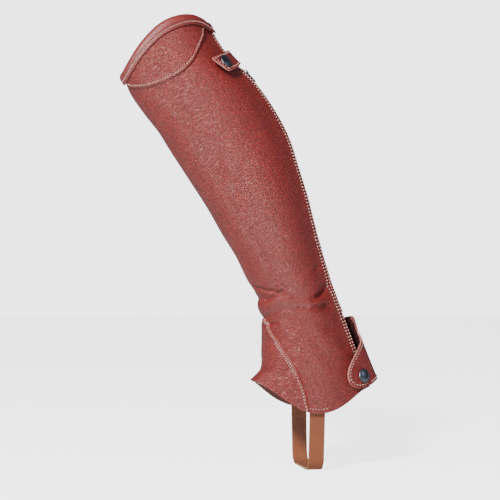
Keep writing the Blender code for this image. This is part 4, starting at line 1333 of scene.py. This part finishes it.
def build_teeth_tree():
    tree, given, times, outlet, spots = row_tree("spiral_teeth", TOOTH)
    bars = []
    for side in (1.0, -1.0):
        end = tree.xyz(times("Reach", given["Slant"]), times("Reach", side), times("Thread", -0.6))
        start = (0.0, -0.2 * MM * side, 0.0)
        bar = tree.add("GeometryNodeCurvePrimitiveLine", {"Start": start, "End": end})[0]
        bars.append(tube(tree, bar, times("Thread", 0.5)))
    return close_tree(tree, outlet, lay(tree, spots, bars), TEETH)


def zip_skin(turn, station):
    return leg_point(turn, station, CHAIN_OUT)


TEETH_PIECE = run_tree("nylon_teeth", build_teeth_tree(),
                       [row_on(zip_skin, ZIP_TURN, np.linspace(CHAIN_TOP, CHAIN_END, 300), -0.3)], TOOTH)
print("teeth:", len(TEETH_PIECE.data.polygons), "faces")

# %% [markdown]
# ## Slider, pull and snaps
# The hard parts are dark metal. The slider is a plate with a rounded nose and a low crown, and its pull
# hangs on the crown and swings, so it rides on a body of its own. The snap caps are turned from a
# profile with a rolled rim.

# %% Small metal parts from outlines
SLIDER_THICK = 1.2
SLIDER_LENGTH = 9.0
SLIDER_WIDTH = 8.0
CROWN_LENGTH = 5.8
CROWN_DOWN = 1.4
CROWN_WIDTH = 2.2
CROWN_BAR = 0.8
CROWN_OPENING = 2.0
PULL_LENGTH = 15.0
PULL_WIDTH = 5.6
PULL_THICK = 0.9
PULL_EYE = 3.0
PULL_EYE_LENGTH = 4.0
PULL_TILT = -5.0


def plate(name, outline, low, high, place, hole=None, round_edge=0.25):
    """A flat part from its outline in local X and Y, with an opening if one is given."""
    loops = [outline] if hole is None else [outline, hole]
    points = [tuple(place @ (Vector((x, y, level)) * MM))
              for level in (low, high) for loop in loops for x, y in loop]
    count = len(outline)
    steps = [(i, (i + 1) % count) for i in range(count)]
    if hole is None:
        faces = [list(range(count))[::-1], list(range(count, 2 * count))]
        faces += [(i, j, count + j, count + i) for i, j in steps]
    else:
        faces = [face for i, j in steps for face in (
            (i, count + i, count + j, j), (2 * count + i, 2 * count + j, 3 * count + j, 3 * count + i),
            (i, j, 2 * count + j, 2 * count + i), (count + j, count + i, 3 * count + i, 3 * count + j))]
    return round_edges(mesh_object(name, points, faces, materials=(GUNMETAL,)), round_edge, 3, 30, 40)


def round_box(width, low, high, corner, count=6):
    """A rectangle in local X and Y with round corners, anticlockwise."""
    half = width / 2 - corner
    centres = ((half, high - corner, 0), (-half, high - corner, 90), (-half, low + corner, 180),
               (half, low + corner, 270))
    return [(x + corner * math.cos(math.radians(start + 90 * i / (count - 1))),
             y + corner * math.sin(math.radians(start + 90 * i / (count - 1))))
            for x, y, start in centres for i in range(count)]


def slider_place():
    """The slider's place on the chain, as a matrix: X across, Y down the zip, Z out."""
    point, normal, down, _ = leg_frame(ZIP_TURN, SLIDER_STATION)
    out = Vector(normal)
    across = Vector(down).cross(out).normalized()
    matrix = Matrix((across, out.cross(across), out)).transposed().to_4x4()
    matrix.translation = (Vector(point) + out * (CHAIN_OUT + LAID_GAP)) * MM
    return matrix


def join(first, other):
    with bpy.context.temp_override(active_object=first, selected_editable_objects=[first, other]):
        bpy.ops.object.join()
    return first


def make_slider():
    """The plate and its crown, whose feet are cut off inside the plate."""
    place = slider_place()
    half = SLIDER_LENGTH / 2
    body = plate("metal_slider", round_box(SLIDER_WIDTH, -half, half, 2.2), 0.0, SLIDER_THICK, place)
    turned = place @ Matrix.Translation((0.0, CROWN_DOWN * MM, 0.0))
    turned = turned @ Matrix.Rotation(math.radians(90), 4, "Y")
    top = SLIDER_THICK + CROWN_OPENING + CROWN_BAR
    inner = CROWN_LENGTH / 2 - CROWN_BAR
    rim = [(-x, y) for x, y in round_box(2 * top, -CROWN_LENGTH / 2, CROWN_LENGTH / 2, 1.4)]
    eye = [(-x, y) for x, y in round_box(2 * (top - CROWN_BAR), -inner, inner, 0.8)]
    crown = plate("crown", rim, -CROWN_WIDTH / 2, CROWN_WIDTH / 2, turned, eye, 0.2)
    for vert in crown.data.vertices:
        local = place.inverted() @ vert.co
        local.z = max(local.z, 0.6 * SLIDER_THICK * MM)
        vert.co = place @ local
    return join(body, crown)


def make_pull():
    hinge = Vector((0.0, CROWN_DOWN, SLIDER_THICK + CROWN_OPENING / 2))
    pivot = slider_place() @ Matrix.Translation(hinge * MM)
    place = pivot @ Matrix.Rotation(math.radians(PULL_TILT), 4, "X")
    bar = PULL_THICK / 2
    outline = round_box(PULL_WIDTH, -bar, PULL_LENGTH - bar, 1.3)
    eye = round_box(PULL_EYE, bar, bar + PULL_EYE_LENGTH, 0.8)
    pull = plate("metal_pull", outline, -bar, bar, place, eye, 0.22)
    raised = round_box(PULL_WIDTH - 2.0, PULL_LENGTH - 8.5, PULL_LENGTH - 2.0, 0.9)
    return join(pull, plate("grip", raised, bar - 0.1, bar + 0.18, place, None, 0.12))


SLIDER_PIECE = make_slider()
PULL_PIECE = make_pull()
print("slider and pull:", len(SLIDER_PIECE.data.polygons), len(PULL_PIECE.data.polygons), "faces")

# %% Snap caps
SNAP_RADIUS = 7.5
SNAP_PROFILE = ((0.0, 0.0), (6.3, 0.0), (7.1, 0.15), (7.45, 0.6), (7.4, 1.1), (7.0, 1.45), (6.5, 1.5),
                (6.2, 1.38), (5.9, 1.5), (5.2, 1.86), (4.0, 2.22), (2.4, 2.48), (1.0, 2.58), (0.0, 2.6))
SNAP_TURNS = 56


def snap_cap(name, turn, station, out_at):
    """A domed cap on the outer face of a tab or flap, as the CAD places it."""
    def at(turn, station):
        return Vector(bridge_point(turn, station, out_at(turn)))

    aside = float(degrees_for(turn, station, SNAP_RADIUS))
    normal = (at(turn + aside, station) - at(turn - aside, station)).cross(
        at(turn, station + 0.25) - at(turn, station - 0.25)).normalized()
    place = Matrix.Translation(at(turn, station) + normal * GAP)
    place = place @ normal.to_track_quat("Z", "Y").to_matrix().to_4x4()
    spokes = [(math.cos(math.tau * i / SNAP_TURNS), math.sin(math.tau * i / SNAP_TURNS))
              for i in range(SNAP_TURNS)]
    rings = SNAP_PROFILE[1:-1]
    points = [(0.0, 0.0, 0.0)] + [(radius * x, radius * y, z) for radius, z in rings for x, y in spokes]
    points.append((0.0, 0.0, SNAP_PROFILE[-1][1]))
    last = 1 + (len(rings) - 1) * SNAP_TURNS
    faces = []
    for i in range(SNAP_TURNS):
        j = (i + 1) % SNAP_TURNS
        faces.append((0, 1 + j, 1 + i))
        faces += [(low + i, low + j, low + SNAP_TURNS + j, low + SNAP_TURNS + i)
                  for low in range(1, last, SNAP_TURNS)]
        faces.append((last + i, last + j, len(points) - 1))
    placed = [tuple((place @ Vector(point)) * MM) for point in points]
    item = mesh_object(name, placed, faces, materials=(GUNMETAL,))
    item.data.shade_smooth()
    item.data.set_sharp_from_angle(angle=math.radians(60))
    return item


SNAP_PIECES = [snap_cap("cap_heel_snap", *HEEL_SNAP, flap_out),
               snap_cap("cap_tab_snap", TAB_SNAP_TURN, tab_station(TAB_SNAP_TURN, 0.5), tab_out)]
print("snap caps:", len(SNAP_PIECES))

# %% [markdown]
# ## Floor, light and camera
# A pale floor and a pale world stand in for a studio. Both shine toward the camera alone, so that they
# match behind the leg without lighting it. The key light is small and high to the left, in front. A low
# softbox beside it gives only gloss, down the front of the calf, because it is left out of the diffuse
# light. The camera stands level and a little to the toe's side of square, where the sizes agree.

# %% The studio
FLOOR_Z = STRAP_BOTTOM - 0.4
FLOOR_REACH = 4.0
WHITE = (1.0, 1.0, 1.0, 1.0)
CAMERA_TURN = math.radians(-12.0)
CAMERA_DISTANCE = 1.767
AIM = Vector((0.0259, -0.0055, -0.1219))


def make_floor():
    paper, tree, shader = new_finish("floor_paper")
    seen = tree.add("ShaderNodeLightPath")["Is Camera Ray"]
    tree.put(shader, {"Base Color": (0.86, 0.86, 0.86, 1.0), "Roughness": 0.8, "Emission Color": WHITE,
                      "Emission Strength": tree.math("MULTIPLY", seen, 2.9)})
    corners = [(x * FLOOR_REACH, y * FLOOR_REACH, FLOOR_Z * MM)
               for x, y in ((-1, -1), (1, -1), (1, 1), (-1, 1))]
    mesh_object("studio_floor", corners, [(0, 1, 2, 3)], materials=(paper,))


def area_light(name, place, size, power, colour, sheen_only=False):
    item = new_object(name, bpy.data.lights.new(name, "AREA"))
    item.data.shape = "RECTANGLE"
    item.data.size, item.data.size_y = size
    item.data.energy, item.data.color = power, colour
    item.location = place
    item.rotation_euler = (AIM - Vector(place)).to_track_quat("-Z", "Y").to_euler()
    item.visible_diffuse = not sheen_only


def make_world():
    world = bpy.data.worlds.new("studio")
    world.use_nodes = True
    sky = Wiring(world.node_tree)
    seen = sky.add("ShaderNodeLightPath")["Is Camera Ray"]
    sky.put(world.node_tree.nodes["Background"], {"Color": sky.mix(seen, (0.90, 0.92, 1.0, 1.0), WHITE),
                                                  "Strength": sky.math("MULTIPLY_ADD", seen, 3.3, 0.18)})
    bpy.context.scene.world = world


def make_camera():
    camera = new_object("camera", bpy.data.cameras.new("camera"))
    toward = Vector((math.sin(CAMERA_TURN), -math.cos(CAMERA_TURN), 0.0))
    camera.location = AIM + toward * CAMERA_DISTANCE
    camera.rotation_euler = (-toward).to_track_quat("-Z", "Y").to_euler()
    camera.data.lens, camera.data.sensor_width = 120.0, 36.0
    bpy.context.scene.camera = camera
    print("camera at", [round(v, 3) for v in camera.location])


make_floor()
area_light("key", (-1.25, -1.80, 1.40), (0.35, 0.35), 138.0, (1.0, 0.955, 0.90))
area_light("low softbox", (-0.95, -0.75, -0.12), (0.30, 0.45), 42.0, (1.0, 0.91, 0.89), sheen_only=True)
area_light("fill", (1.7, -0.9, 0.6), (1.2, 1.2), 7.0, (0.82, 0.86, 1.0))
make_world()
make_camera()

# %% [markdown]
# ## What each piece is, and what carries it
# Last, each piece is set on the body that it rides on, and the CAD solid that it stands for is hidden. Only
# the zip's pull moves.

# %% Riding and replacing
def settle(piece, body, slot, *nodes):
    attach(piece, body)
    if nodes:
        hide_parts(*nodes)


for slot, dressed in {
        "leather": ((LEG_PIECE, "leg_panel"), (VAMP_PIECE, "vamp"), (LENS_PIECE, "lens_panel"),
                    (BAND_PIECE, "top_band"), (FLAP_PIECES[0], "heel_flap"), (FLAP_PIECES[1], "heel_flap"),
                    (TAB_PIECES[0], "snap_tab"), (TAB_PIECES[1], "snap_tab")),
        "strap_leather": ((STRAP_PIECE, "foot_strap"),),
        "zip_tape": ((TAPES[0], "zip_tape_outer"), (TAPES[1], "zip_tape_inner")),
        "zip_teeth": ((TEETH_PIECE, "zip_chain"),),
        "dark_metal": ((SLIDER_PIECE, "zip_slider"), (SNAP_PIECES[0], "heel_snap"),
                       (SNAP_PIECES[1], "tab_snap"))}.items():
    for piece, node in dressed:
        settle(piece, "chap", slot, node)
settle(PULL_PIECE, "pull", "dark_metal", "zip_pull")
for piece in STITCHES:
    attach(piece, "chap")
